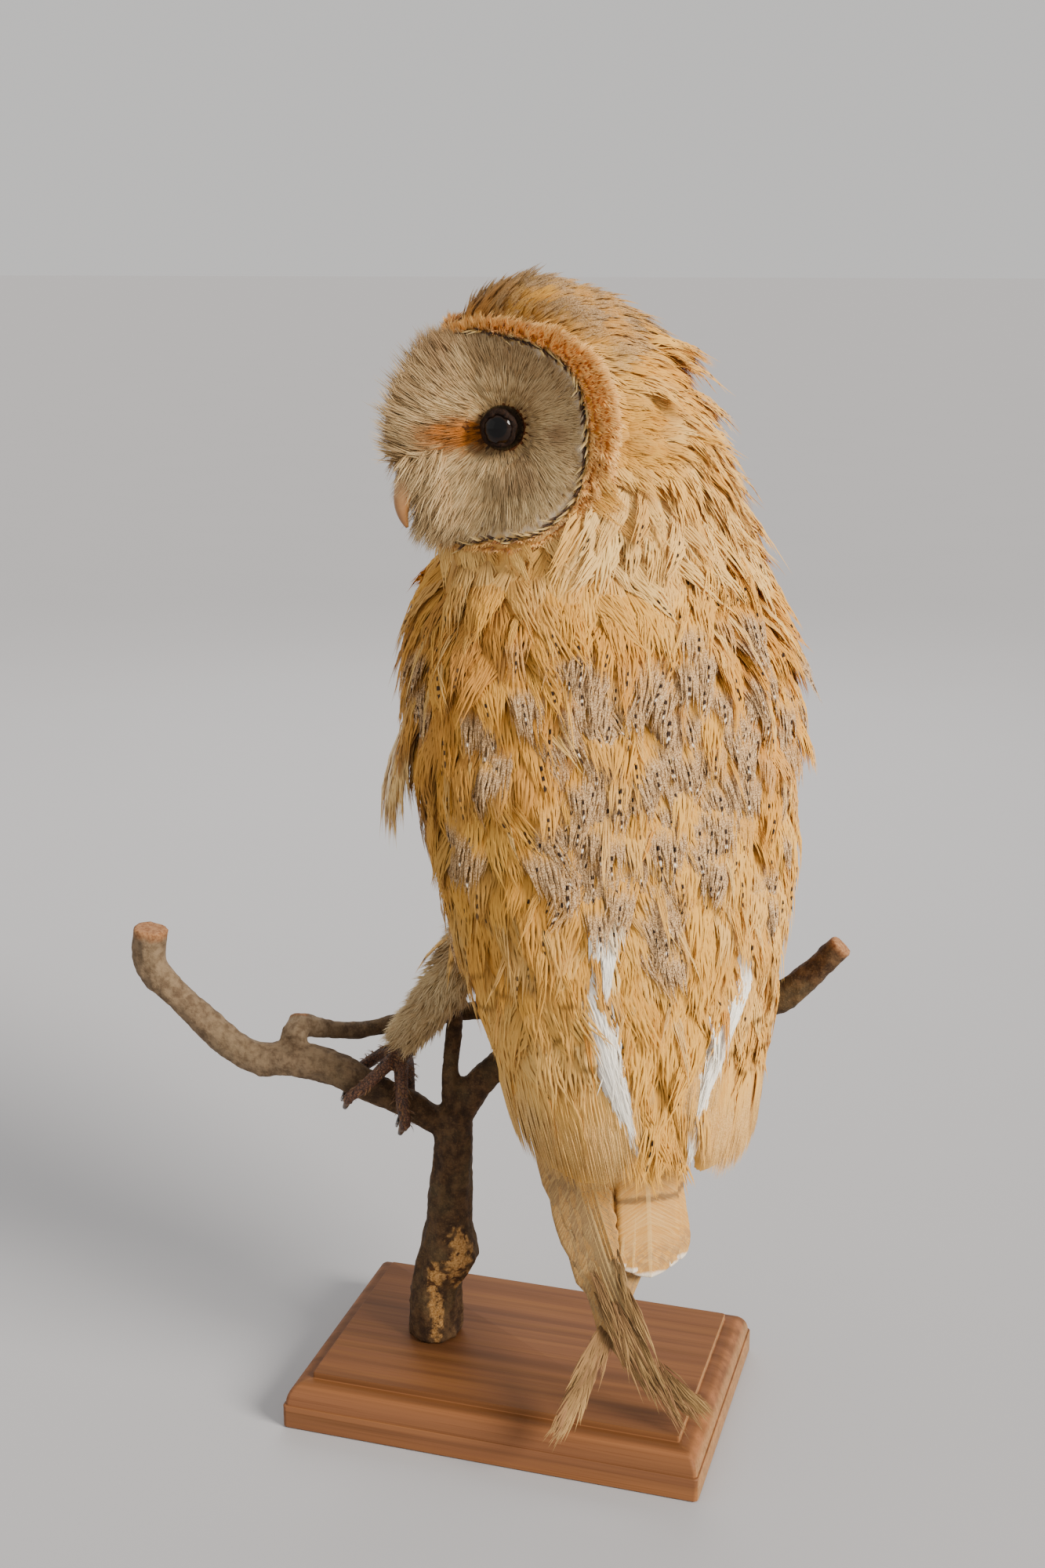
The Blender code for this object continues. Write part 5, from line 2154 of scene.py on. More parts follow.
@dataclass
class Fan:
    """A bundle of long feathers made one piece."""

    name: str
    feathers: list[Feather]
    slot: str = "flight_feathers"

    def build(self, finish: Material) -> Piece:
        """The piece, each feather in a strip of its own on the map.

        Args:
            finish: Its material.

        Returns:
            The piece.
        """
        verts, faces, maps, marks = [], [], [], {}
        base = 0
        for number, feather in enumerate(self.feathers):
            v, f, m = feather.mesh()
            verts.append(v)
            faces += [tuple(i + base for i in face) for face in f]
            strip = 0.03 + 0.045 * (number % 20)
            maps.append(np.stack([strip + 0.018 * (m["across"] + 1), 0.03 + 0.9 * m["along"]], 1))
            for key, values in m.items():
                marks.setdefault(key, []).append(values)
            base += len(v)
        piece = mesh_object(self.name, moved(np.vstack(verts), OWL), faces)
        for key, values in marks.items():
            store(piece.data, key, np.concatenate(values))
        faced_out(piece.data)
        layer = piece.data.uv_layers.new(name="OFBake")
        corner = np.empty(len(piece.data.loops), np.int32)
        piece.data.loops.foreach_get("vertex_index", corner)
        layer.data.foreach_set("uv", np.vstack(maps)[corner].astype(np.float32).ravel())
        piece.data.materials.append(finish)
        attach(piece, "root")
        LOG.info("%s: %d feathers, %d triangles", self.name, len(self.feathers), Coats.count(piece.data))
        return piece


@dataclass(frozen=True)
class Bundle:
    """The long feathers of one wing, in the owl's frame and in mm.

    Rows are the line that they follow, with their width and height there, and facing is the way that they face.
    Tassels are the loose barbs at their ends, and slim says how much nearer together those lie at the tip.
    """

    rows: Rows
    facing: tuple[float, float, float]
    width: float
    count: int
    vane: float
    round_tip: float
    tassels: int
    slim: float


PRIMARIES = {
    Side.LEFT: Bundle(
        rows=((23.6, 28.5, 120), (20.4, 35.0, 97), (14.6, 44.0, 72), (8.2, 50.2, 52), (1.2, 54.8, 39),
              (-6.3, 58.0, 31), (-14.0, 60.2, 25.5)),
        facing=(0.45, 0.85, 0.15), width=22.0, count=8, vane=12.0, round_tip=0.45, tassels=64, slim=0.75,
    ),
    Side.RIGHT: Bundle(
        rows=((-21.0, 24.5, 120), (-13.8, 30.5, 100), (0.6, 37.0, 72), (12.2, 44.5, 52), (22.9, 51.5, 36),
              (33.0, 56.2, 22)),
        facing=(0.1, 0.93, 0.3), width=14.0, count=6, vane=8.5, round_tip=0.7, tassels=44, slim=0.96,
    ),
}


@dataclass
class Wings:
    """The long feathers of both wings, the tail and the loose ones."""

    coats: Coats
    sower: Sower
    plumage: Material
    frayed: Material
    frays: dict[Side, tuple[Array, Array, Array, Array]] = field(default_factory=dict)
    secondary_count: int = 15
    secondary_size: tuple[float, float] = (17.0, 43.5)
    stripe_sizes: Rows = ((9.6, 22.0), (5.6, 15.0), (8.8, 22.0))
    stripe_step: float = 2.4
    # sideways place, width and rise at the tip, in mm, of each tail feather, the lowest first
    tail_feathers: Rows = ((-1, 11, 4), (1, 14, 4), (-0.62, 14, 2.2), (0.62, 14, 2.2), (0.05, 22, 0))
    loose_count: int = 26

    def on_skin(self, az: float, z: float, height: float) -> tuple[Array, Array]:
        """A place in the owl's frame, in mm, over the skin, and the way the skin faces there.

        Args:
            az: Degrees round the body.
            z: Height in mm.
            height: Height over the skin in mm.

        Returns:
            The place and the direction.
        """
        drop = 0.0
        while (hit := self.sower.inward(az, z + drop)) is None:
            drop += 2.0
        spot = hit[0] + hit[1] * height * MM
        facing = turned(hit[1], OWL.inverted())
        return moved(spot, OWL.inverted()) / MM - np.array((0, 0, drop)), facing

    def laid_plumes(self, stops: list, marks: dict[str, Array], rise: float = 0.6) -> Plumes:
        """Plumes laid over the skin.

        Args:
            stops: For each one the degrees and height of its root and of its tip, its height over the skin, its
                width and its length, in mm.
            marks: Their marks.
            rise: How much higher the tips lie than the roots.
        """
        root, facing, lie, size = [], [], [], []
        for az, z, tip_az, tip_z, height, width, length in stops:
            (start, out), (end, _) = self.on_skin(az, z, height), self.on_skin(tip_az, tip_z, height + rise)
            root.append(start)
            lie.append(unit(end - start))
            facing.append(out)
            size.append((width, length))
        world, way = moved(np.array(root) * MM, OWL), turned(np.array(lie), OWL)
        face = flat_on(turned(np.array(facing), OWL), way)
        size = np.array(size) * MM
        return Plumes(world, face, way, size[:, 1], size[:, 0], np.zeros(len(root)), body_unwrap(world), marks)

    def secondaries(self, side: Side) -> Piece:
        """The rounded, overlapping ends of a folded wing.

        Args:
            side: Which of the bird's sides.

        Returns:
            The piece.
        """
        chance = self.sower.chance
        stops = []
        for k in range(self.secondary_count):
            az = 4 + 4.6 * k + chance.normal(0, 0.6)
            foot = next(z for z in range(98, 140) if self.sower.inward(self.mirrored(side, az), z)) - 0.5
            root, tip = (self.mirrored(side, az - 2), foot + 43), (self.mirrored(side, az + 1), foot + 13)
            stops.append((*root, *tip, 0.2 + 0.06 * k, *self.secondary_size))
        n = len(stops)
        marks = {"pale": 0.2 + 0.2 * chance.uniform(0, 1, n), "grey": 0.3 + 0.15 * chance.uniform(0, 1, n),
                 "bar": (chance.uniform(0, 1, n) < 0.4) * 0.2}
        shape = VaneShape("secondary", barbs=78, barb_width=0.032, round_end=0.2, close=0.1, wisp=0.012,
            camber=0.08, curl=0.03, fray=0.02, thick=0.008, variants=5, seed=15)
        return self.coats.grow(f"secondaries_{side.name.lower()}", self.laid_plumes(stops, marks, 2.2), shape,
            self.plumage, "flight_feathers")

    @staticmethod
    def mirrored(side: Side, az: float) -> float:
        """An angle on one side of the body."""
        return az if side is Side.LEFT else 180 - az

    def stripes(self) -> Piece:
        """The white inner edges that show at both wings.

        Returns:
            The piece.
        """
        chance = self.sower.chance
        stops = []
        for line, (width, length) in zip(self.sower.marks.white_lines, self.stripe_sizes):
            angles, heights = np.array(line[::-1], float).T
            low, high = heights[0], heights[-1]
            for z in np.arange(high + 2, low + length - 3, -self.stripe_step):
                az, foot = np.interp(z, heights, angles) + chance.normal(0, 0.4), z - length
                tip = np.interp(foot, heights, angles) + chance.normal(0, 0.3)
                over = 2.3 + 0.4 * (z - low) / (high - low)
                stops.append((az, z, tip, foot, over, width * chance.uniform(0.9, 1.05), length + 1.0))
        marks = {"pale": np.full(len(stops), 1.15)}
        shape = VaneShape("white_edge", barbs=34, barb_width=0.07, round_end=0.6, close=0.3, wisp=0.03,
            camber=0.04, curl=0.03, fray=0.05, thick=0.01, variants=6, seed=16)
        return self.coats.grow("wing_edges_white", self.laid_plumes(stops, marks, 3.1), shape, self.plumage,
            "flight_feathers")

    def primaries(self, side: Side) -> Fan:
        """The long feathers that reach past the tail.

        Args:
            side: Which of the bird's sides.

        Returns:
            The bundle.
        """
        bundle = PRIMARIES[side]
        table, facing = np.array(bundle.rows, float), np.array(bundle.facing)
        out = unit(np.cross(unit(table[-1] - table[0]), facing))
        feathers = []
        for k in range(bundle.count):
            u = (k / (bundle.count - 1) - 0.5) * 2
            stop = 1.0 - 0.11 * (bundle.count - 1 - k)
            last = max(3, int(round(stop * (len(table) - 1))) + 1)
            taper = np.linspace(1, 0.3, len(table))[:last, None]
            path = table[:last] + out * u * (bundle.width - 9) / 2 * taper * side.value
            path = path + unit(facing) * (0.9 - 0.25 * k)
            start, _ = self.on_skin(self.mirrored(side, 4 + 3 * k), 150, 2.4 + 0.1 * k)
            feathers.append(Feather(
                np.vstack([start, path]), bundle.facing, bundle.vane, round_tip=bundle.round_tip, fray=0.3,
                pale=0.04 * (k % 3), dusty=0.85, frayed=0.6, ochre=1.0 if k < 2 else 0.15 + 0.3 * (k % 2),
                rows=40, seed=60 + k + 20 * (side is Side.RIGHT),
            ))
        self.frays[side] = self.frayed_ends(side, table, out)
        return Fan(f"primaries_{side.name.lower()}_vanes", feathers)

    def frayed_ends(self, side: Side, table: Array, out: Array) -> tuple[Array, Array, Array, Array]:
        """Where the loose barbs of one wing start.

        Args:
            side: The wing.
            table: Points along its long feathers, in mm.
            out: The way across them.

        Returns:
            Roots in mm, the ways they face, the ways they lie, and their lengths in mm.
        """
        chance, bundle = self.sower.chance, PRIMARIES[side]
        n = bundle.tassels
        t = 0.66 + 0.33 * chance.uniform(0, 1, n)
        if side is Side.LEFT:
            t = 0.36 + 0.62 * chance.uniform(0, 1, n) ** 0.6
        keys = run_along(table)
        at, last = t * keys[-1], keys[-1]
        root, front, back = (
            np.stack([np.interp(at + shift, keys, table[:, k]) for k in range(3)], 1) for shift in (0, 2, -2)
        )
        way = unit(front - back)
        face = np.tile(unit(np.array(bundle.facing)), (n, 1))
        aside = chance.uniform(-1, 1, n) * (bundle.width / 2 - 2) * (1 - bundle.slim * t)
        root = root + out * aside[:, None] + face * 1.1
        way = swung(way, face, chance.normal(0, 0.09, n))
        return root, face, way, np.minimum(chance.uniform(15, 26, n), last - at + 2.5)

    def tassels(self, side: Side) -> Piece:
        """The frayed barbs along the long feathers' ends.

        Args:
            side: Which of the bird's sides.

        Returns:
            The piece.
        """
        root, face, way, length = self.frays[side]
        n = len(root)
        facing, world = turned(face, OWL), moved(root * MM, OWL)
        marks = {"grime": self.sower.chance.uniform(0, 1, n) ** 2}
        lift = np.radians(1.5) + self.sower.chance.normal(0, 0.02, n)
        way = flat_on(turned(way, OWL), facing)
        plumes = Plumes(world, facing, way, length * MM, np.full(n, 3.6 * MM), lift, body_unwrap(world), marks)
        shape = VaneShape("tassel", barbs=9, barb_width=0.15, round_end=0.2, close=0.35, wisp=0.09,
            camber=0.02, curl=0.02, fray=0.15, thick=0.012, variants=5, seed=13)
        return self.coats.grow(f"primaries_{side.name.lower()}_frayed", plumes, shape, self.frayed,
            "flight_feathers")

    def tail(self) -> Fan:
        """The tail's rounded paddle.

        Returns:
            The bundle.
        """
        rows = np.array(
            ((-3.2, 30.8, 117), (-3.1, 36.5, 98), (-2.8, 40.5, 82), (-2.5, 42.6, 73), (-2.4, 44.1, 65.0))
        )
        feathers = []
        for k, (u, width, rise) in enumerate(self.tail_feathers):
            shift = np.array([(u * (6 + 4.6 * t), -0.9 + 0.35 * k, rise * t)
                for t in np.linspace(0, 1, len(rows))])
            feathers.append(Feather(
                rows + shift, (0.12 * u, 1, 0.2), width, round_tip=0.2, camber=0.07, fray=0.05, pale=0.05,
                dusty=0.22,
                bars=0.7, ochre=1.0, rows=34, seed=100 + k,
            ))
        return Fan("tail_vanes", feathers)

    def loose(self) -> Piece:
        """The bunch of loose fluffy feathers that hangs at the left wing's front.

        Returns:
            The piece.
        """
        chance = self.sower.chance
        n = self.loose_count
        u, v = chance.uniform(0, 1, n), np.linspace(0, 1, n)
        root = np.stack([61.5 + 5.0 * u, -17.0 + 9.0 * v, 250 - 15 * u], 1)
        face = unit(np.stack([np.full(n, 0.85), -0.45 + 0.5 * v, np.full(n, 0.12)], 1))
        way = np.stack([0.2 + 0.1 * (1 - v), -0.16 + 0.26 * v, np.full(n, -1.0)], 1)
        way = unit(way + chance.normal(0, 0.08, (n, 3)))
        world, facing = moved(root * MM, OWL), turned(face, OWL)
        marks = {"pale": chance.uniform(0.45, 0.85, n)}
        length, width, lift = chance.uniform(24, 36, n), chance.uniform(9, 13, n), chance.normal(0, 0.05, n)
        plumes = Plumes(world, facing, flat_on(turned(way, OWL), facing), length * MM, width * MM, lift,
                        body_unwrap(world), marks)
        shape = VaneShape("loose", barbs=44, barb_width=0.05, round_end=0.3, close=0.35, wisp=0.12,
            camber=0.06, curl=0.05, fray=0.14, variants=6, seed=14)
        return self.coats.grow("loose_plumes", plumes, shape, self.plumage, "flight_feathers")


# ---------------------------------------------------------------- eyes and bill


@dataclass
class Eyes:
    """Glass eyes in dark lids."""

    glass: Material
    skin: Material
    radius: float = 6.9
    cornea: float = 0.45
    lid_reach: float = 4.9
    lid_thick: float = 0.8

    def ball(self, side: Side) -> Piece:
        """The glass ball.

        Args:
            side: Which of the bird's sides.

        Returns:
            The piece.
        """
        heart, gaze, across, up = eye_frame(side)
        verts, marks = [], []
        rings, sides = 30, 40
        for i in range(1, rings):
            t = math.pi * i / rings
            r = self.radius + self.cornea * math.exp(-((math.degrees(t) / 34) ** 2))
            for k in range(sides):
                a = 2 * math.pi * k / sides
                verts.append(heart + r * (gaze * math.cos(t)
                    + math.sin(t) * (across * math.cos(a) + up * math.sin(a))))
                marks.append(math.sin(min(t, math.pi / 2)) * self.radius / 6.0)
        verts += [heart + gaze * (self.radius + self.cornea), heart - gaze * self.radius]
        marks += [0.0, 1.2]
        faces = [(a, d, c, b) for a, b, c, d in joined_rings(rings - 1, sides)]
        front, back = len(verts) - 2, len(verts) - 1
        last = (rings - 2) * sides
        faces += [(front, k, (k + 1) % sides) for k in range(sides)]
        faces += [(back, last + (k + 1) % sides, last + k) for k in range(sides)]
        return self.finished(f"eye_ball_{side.name.lower()}", verts, faces, marks, self.glass, "eye_glass")

    def lids(self, side: Side) -> Piece:
        """The rim of both lids round the ball, the upper one fuller.

        Args:
            side: Which of the bird's sides.

        Returns:
            The piece.
        """
        heart, gaze, across, up = eye_frame(side)
        loops, round_ = 56, 12
        verts, marks = [], []
        for i in range(loops):
            a = 2 * math.pi * i / loops
            upper = max(0.0, math.sin(a))
            tall = 1.0 + 0.1 * abs(math.sin(a)) - 0.12 * upper
            q = self.lid_reach * tall * (1 + 0.03 * math.sin(5 * a) + 0.02 * math.sin(11 * a + 1))
            s = math.sqrt(self.radius**2 - min(q, 6.6) ** 2) + 0.25 + 0.5 * upper
            out = across * math.cos(a) + up * math.sin(a)
            thick = self.lid_thick * (1 + 0.3 * upper + 0.12 * math.sin(7 * a))
            for k in range(round_):
                b = 2 * math.pi * k / round_
                over = s - 0.35 * thick * math.cos(b) + 0.75 * thick * math.sin(b)
                verts.append(heart + out * (q + thick * math.cos(b)) + gaze * over)
                marks.append(0.5)
        faces = joined_rings(loops, round_, closed=True)
        return self.finished(f"lids_{side.name.lower()}", verts, faces, marks, self.skin, "eye_glass")

    @staticmethod
    def finished(name: str, verts: list, faces: list, marks: list, finish: Material, slot: str) -> Piece:
        """A dressed piece from points in the head's frame in mm.

        Args:
            name: What to call it.
            verts: Its points, in the head's frame in mm.
            faces: Its faces.
            marks: How far along it each point is.
            finish: Its material.
            slot: The record's slot, which is not used.

        Returns:
            The piece.
        """
        piece = mesh_object(name, moved(np.array(verts) * MM, HEAD), faces)
        faced_out(piece.data)
        store(piece.data, "along", np.array(marks))
        piece.data.materials.append(finish)
        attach(piece, "root")
        LOG.info("%s: %d faces", name, len(faces))
        return piece


@dataclass
class Bill:
    """The hooked bill in two halves."""

    finish: Material
    # x, y, z and radius in mm down each half, in the head's frame
    upper: Rows = ((0, -33, -7, 5.0), (0, -38, -8.8, 5.0), (0, -42, -11, 4.5), (0, -46, -16, 3.7),
        (0, -47.5, -21.5, 2.7),
                    (0, -46.9, -26, 1.6), (0, -45.6, -29, 0.55))
    lower: Rows = ((0, -33, -18, 3.6), (0, -37, -20, 3.1), (0, -40.2, -22.2, 2.2), (0, -42.6, -24, 0.9))

    steps: int = 22
    sides: int = 20

    def half(self, name: str, rows: Rows, node: str) -> Piece:
        """One half, a curved cone with a ridge along its back.

        Args:
            name: What to call it.
            rows: Its middle and radius, point by point, in mm.
            node: The node that it replaces.

        Returns:
            The piece.
        """
        table = np.array(rows, float)
        keys = np.arange(len(table))
        at = np.linspace(0, len(table) - 1, self.steps)
        fine = np.stack([np.interp(at, keys, table[:, k]) for k in range(4)], 1)
        for _ in range(3):
            fine[1:-1] = (fine[:-2] + 2 * fine[1:-1] + fine[2:]) / 4
        verts, faces = tube(fine[:, :3], fine[:, 3], self.sides, 0.82, Vector((1, 0, 0)))
        along = list(np.repeat(np.linspace(0, 1, self.steps), self.sides))
        piece = Eyes.finished(name, verts, faces, along, self.finish, "bill_horn")
        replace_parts(piece, node)
        return piece


# ---------------------------------------------------------------- claws, branch and base


@dataclass
class Claws:
    """The curved claws of one foot, smoothed from their solids."""

    side: Side
    finish: Material

    def build(self) -> Piece:
        """One piece for the four claws.

        Returns:
            The piece.
        """
        label = self.side.name.lower()
        nodes = [f"claw_{label}_{k}" for k in range(1, 5)]
        piece = linked(f"claws_{label}", joined_copy(nodes, 0.0))
        level = piece.modifiers.new("level", "SUBSURF")
        level.levels = level.render_levels = 2
        piece.data = evaluated(piece)
        piece.data.shade_smooth()
        co = coordinates(piece.data)
        along = np.zeros(len(co))
        for node in nodes:
            low, high = (np.array(v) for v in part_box(node))
            inside = np.all((co > low - 1e-3) & (co < high + 1e-3), axis=1)
            along[inside] = (high[2] - co[inside, 2]) / (high[2] - low[2])
        store(piece.data, "along", along)
        piece.data.materials.append(self.finish)
        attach(piece, "root")
        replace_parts(piece, *nodes)
        LOG.info("claws_%s: %d faces", label, len(piece.data.polygons))
        return piece


@dataclass
class Perch:
    """The branch as one length of bark."""

    finish: Material
    nodes: tuple[str, ...] = ("perch_stem", "perch_limb_left", "perch_limb_right", "perch_limb_up")
    voxel: float = 0.85 * MM
    # each cut end's middle and radius in mm
    ends: tuple[tuple[tuple[float, float, float], float], ...] = (((126.6, 21.4, 167), 6.6),
        ((-100.1, -38.5, 163.7), 4.6), ((80.4, 4.6, 133.6), 3.4))
    knot: tuple[float, float, float] = (22.0, 8.5, 50.0)

    def build(self) -> Piece:
        """The branch, with its relief, knots and cut ends.

        Returns:
            The piece.
        """
        piece = remeshed("branch_bark", joined_copy(self.nodes, 0.4 * MM), self.voxel, 3)
        co, normals = coordinates(piece.data), vertex_normals(piece.data)
        stretched = co / np.array((1.0, 1.0, 2.2))
        ridges = 1 - np.abs(clouds(stretched, 4.5 * MM, 31))
        lumps = clouds(co, 11 * MM, 32)
        grit = clouds(co, 1.9 * MM, 33)
        cut = np.zeros(len(co))
        for spot, radius in self.ends:
            cut = np.maximum(cut, 1 - ramp(np.linalg.norm(co / MM - np.array(spot), axis=1), radius - 0.8,
                radius + 0.3))
        near = np.linalg.norm((co / MM - np.array(self.knot)) / np.array((1, 1, 1.35)), axis=1)
        streak = np.hypot(co[:, 0] / MM - 29.5, co[:, 1] / MM - 10.5) + 0.04 * np.abs(co[:, 2] / MM - 34)
        round_knot = 1 - ramp(near + 2.5 * grit + 3 * lumps, 5, 7.5)
        down_stem = (1 - ramp(streak + 1.4 * grit + 1.5 * lumps, 1.8, 3.2)) * (co[:, 2] < 0.05)
        peeled = np.maximum(round_knot, down_stem)
        push = 0.35 * ridges - 0.45 + 0.55 * lumps + 0.16 * grit
        push = push * (1 - 0.85 * cut) * (1 - 0.6 * peeled)
        place(piece.data, co + normals * (push * MM)[:, None])
        store(piece.data, "cut", cut)
        store(piece.data, "peeled", peeled)
        store(piece.data, "hollow", np.clip(ramp(-ridges, -0.45, 0.1) * 0.8, 0, 1))
        light = 1 - ramp(np.linalg.norm((co / MM - np.array((78, 6, 130.0))), axis=1), 6, 10)
        store(piece.data, "light_bark", np.maximum(light, 0.55 * ramp(co[:, 0] / MM + 8 * lumps, 40, 85)))
        piece.data.materials.append(self.finish)
        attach(piece, "root")
        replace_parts(piece, *self.nodes)
        LOG.info("branch_bark: %d faces", len(piece.data.polygons))
        return piece


@dataclass
class Base:
    """The moulded wooden base: a square-edged band, a cove above it, and a raised top."""

    finish: Material
    height: float = 17.8
    lip: float = 8.2
    band: float = 8.6
    shelf: float = 1.4
    fillet: float = 2.2
    corner: float = 1.6

    def profile(self) -> list[tuple[float, float, float]]:
        """Inset, height and wear, from the underside to the top, in mm.

        Returns:
            The rows of the profile.
        """
        rows = [(0.5, 0.0, 0.2), (0.0, 0.5, 0.5), (0.0, self.band - 0.5, 0.3), (0.25, self.band - 0.12, 0.9),
            (0.7, self.band, 0.5)]
        top, lip, height = self.height - self.fillet, self.lip, self.height
        for k in range(1, 9):
            t = math.pi / 2 * k / 8
            inset = 0.7 + (lip - self.shelf - 0.7) * (1 - math.cos(t))
            rows.append((inset, self.band + (top - self.band) * math.sin(t), 0.25))
        rows += [(lip - 0.2, top + 0.05, 0.3), (lip, top + 0.3, 0.3), (lip, height - 0.45, 0.4),
                 (lip + 0.13, height - 0.13, 1.0), (lip + 0.45, height, 0.4)]
        return rows

    def build(self) -> Piece:
        """The base, a stack of rounded rectangles.

        Returns:
            The piece.
        """
        low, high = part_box("base_plate")
        half = (Vector(high) - Vector(low)) / 2 / MM
        verts, worn = [], []
        steps = 6
        for inset, z, wear in self.profile():
            r = max(0.4, self.corner - 0.1 * inset)
            for cx, cy, start in ((1, 1, 0), (-1, 1, 90), (-1, -1, 180), (1, -1, 270)):
                for k in range(steps + 1):
                    a = math.radians(start + 90 * k / steps)
                    x = cx * (half.x - inset - r) + r * math.cos(a)
                    y = cy * (half.y - inset - r) + r * math.sin(a)
                    verts.append((x * MM, y * MM, z * MM))
                    worn.append(min(1.0, wear + 0.4 * (abs(k - steps / 2) < 2)))
        around = 4 * (steps + 1)
        faces = joined_rings(len(self.profile()), around)
        faces.append(tuple(reversed(range(around))))
        faces.append(tuple(range(len(verts) - around, len(verts))))
        middle = (Vector(high) + Vector(low)) / 2
        co = np.array(verts) + np.array((middle.x, middle.y, low.z))
        piece = mesh_object("base_wood", co, faces)
        store(piece.data, "worn", np.array(worn))
        piece.data.set_sharp_from_angle(angle=math.radians(34))
        piece.data.materials.append(self.finish)
        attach(piece, "root")
        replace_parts(piece, "base_plate")
        LOG.info("base_wood: %d faces", len(faces))
        return piece


# ---------------------------------------------------------------- studio


@dataclass
class Studio:
    """Camera, soft lights and a pale floor."""

    eye: tuple[float, float, float] = (-0.1712, 0.5709, 0.387)
    turn: tuple[float, float, float] = (74.56, 0.0, 196.76)
    lens: float = 43.7
    middle: tuple[float, float, float] = (-0.01, 0, 0.24)
    sunshine: tuple[float, float, float] = (1.0, -0.3, -0.62)
    floor_half: float = 40.0

    def camera(self) -> None:
        """The camera at the viewing angle."""
        data = bpy.data.cameras.new("view")
        data.lens, data.sensor_width, data.clip_start = self.lens, 36.0, 0.01
        camera = linked("view", data)
        camera.location = self.eye
        camera.rotation_euler = [math.radians(a) for a in self.turn]
        bpy.context.scene.camera = camera

    def light(self, name: str, place_: Sequence[float], size: float, power: float, tint: str) -> None:
        """One soft light that looks at the bird's middle.

        Args:
            name: What to call it.
            place_: Where it stands, in metres.
            size: Its width in metres.
            power: Its power in watts.
            tint: Its colour's code.
        """
        data = bpy.data.lights.new(name, "AREA")
        data.size, data.energy = size, power
        data.color = linear(tint)[:3]
        lamp = linked(name, data)
        lamp.location = place_
        way = Vector(self.middle) - Vector(place_)
        lamp.rotation_euler = way.to_track_quat("-Z", "Y").to_euler()

    def build(self) -> None:
        """Everything round the object."""
        self.camera()
        sun = bpy.data.lights.new("sun", "SUN")
        sun.energy, sun.angle, sun.color = 6.2, math.radians(24), linear("FFF9F0")[:3]
        linked("sun", sun).rotation_euler = Vector(self.sunshine).to_track_quat("-Z", "Y").to_euler()
        self.light("fill", (0.9, 0.75, 0.7), 1.0, 0.8, "FFF6EC")
        self.light("rim", (0.3, -1.0, 0.9), 0.8, 6.0, "FFFFFF")
        world = bpy.data.worlds.new("studio")
        world.use_nodes = True
        colour, strength = world.node_tree.nodes["Background"].inputs[:2]
        colour.default_value, strength.default_value = linear("F6F4F2"), 0.78
        bpy.context.scene.world = world
        s = self.floor_half
        floor = mesh_object("floor", np.array(((-s, -s, 0), (s, -s, 0), (s, s, 0), (-s, s, 0))), [(0, 1, 2, 3)])
        finish = Shader("pale_floor", 0.75)
        floor.data.materials.append(finish.colour(finish.mix(finish.clouds(6, 2), "A3A2A4", "A6A5A7")))


def dress_head(coats: Coats, sower: Sower, plumage: Material) -> None:
    """The feathers of the head, the face and its ruff.

    Args:
        coats: Makes the pieces.
        sower: Finds the roots.
        plumage: The material of soft feathers.
    """
    ruffs = {
        "ruff": HairFinish("BA7628", "FFD080", "CE8E3A", 0.5).make("ruff_velvet"),
        "straw": HairFinish("A98444", "E2C68A", "8A662F", 0.5).make("ruff_straw_hair"),
        "dark": HairFinish("2A1A10", "5A3C22", "1E120B", 0.5).make("ruff_dark_hair"),
    }
    head = HeadCoat(coats, sower, plumage, HairFinish("AC8A58", "E8CE9C", "9A7744", 0.55).make("disc_hair"),
        ruffs)
    for part in (head.crown, head.tufts, head.disc, head.eye_rings, head.ruff, head.bristles):
        part()


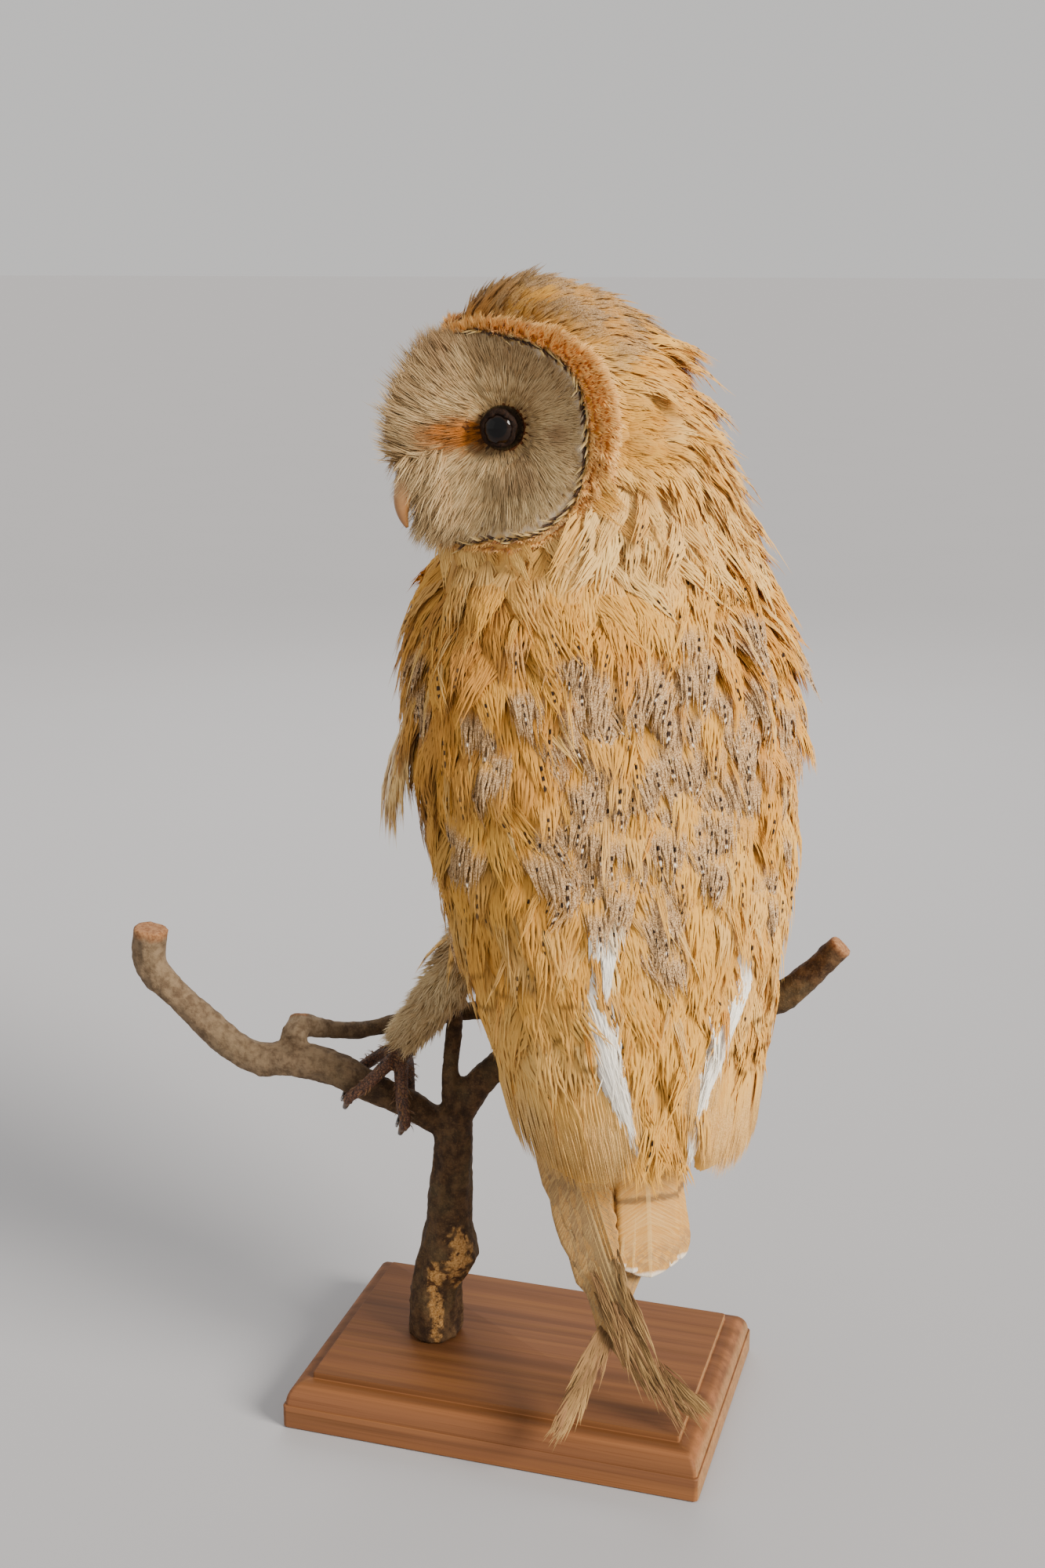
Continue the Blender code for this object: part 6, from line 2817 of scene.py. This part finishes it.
def dress_legs(coats: Coats, sower: Sower, body: Piece) -> None:
    """The fluff of the legs and the bristles of the toes.

    Args:
        coats: Makes the pieces.
        sower: Finds the roots.
        body: The skin with its toes.
    """
    down = HairFinish("B4935E", "EBD5A6", "9C7A48", 0.5).make("leg_hair")
    legs = LegCoat(coats, sower, down, HairFinish("6E4C34", "9E7A56", "4A3020", 0.6).make("toe_hair"))
    legs.fluff()
    legs.toe_bristles(body)


def dress_wings(coats: Coats, sower: Sower, plumage: Material) -> None:
    """The long feathers of wings and tail, and those that hang loose.

    Args:
        coats: Makes the pieces.
        sower: Finds the roots.
        plumage: The material of soft feathers.
    """
    flight = FlightFinish().make("long_feathers")
    wings = Wings(coats, sower, plumage, HairFinish("84633A", "C29B60", "523A1E", 0.75).make("frayed_barbs"))
    for side in Side:
        wings.secondaries(side)
        bundle = wings.primaries(side).build(flight)
        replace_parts(bundle, f"primaries_{side.name.lower()}")
        wings.tassels(side)
    wings.stripes()
    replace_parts(wings.tail().build(flight), "tail")
    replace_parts(wings.loose(), "loose_feathers_left")


def build_hard_parts() -> None:
    """Eyes, bill, claws, branch and base."""
    eyes = Eyes(EyeFinish().make("eye_glass"), LidFinish().make("lid_skin"))
    claw = HornFinish("6B5440", "17100B", 0.25).make("claw_horn")
    for side in Side:
        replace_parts(eyes.ball(side), f"eye_{side.name.lower()}")
        eyes.lids(side)
    bill = Bill(HornFinish("C79C66", "9A6A3C").make("bill_horn"))
    bill.half("bill_top", bill.upper, "bill_upper")
    bill.half("bill_under", bill.lower, "bill_lower")
    for side in Side:
        Claws(side, claw).build()
    Perch(BarkFinish().make("bark")).build()
    Base(WoodFinish().make("base_wood")).build()


def main() -> None:
    """Builds every piece in order."""
    logging.basicConfig(level=logging.INFO, format="%(message)s")
    Studio().build()
    plumage, marks = PlumageFinish().make("plumage"), Markings()
    skin = Skin(plumage, ToeFinish().make("toe_skin"), marks)
    body = skin.build()
    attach(body, "root")
    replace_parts(body, *skin.flesh, *skin.toes)
    LOG.info("owl_skin: %d triangles", Coats.count(body.data))
    coats, sower = Coats(), Sower(skin.tree, marks)
    BodyCoat(coats, sower, plumage).build()
    dress_head(coats, sower, plumage)
    dress_legs(coats, sower, body)
    dress_wings(coats, sower, plumage)
    build_hard_parts()
    LOG.info("coat triangles: %d", coats.total)


if __name__ == "__main__":
    main()
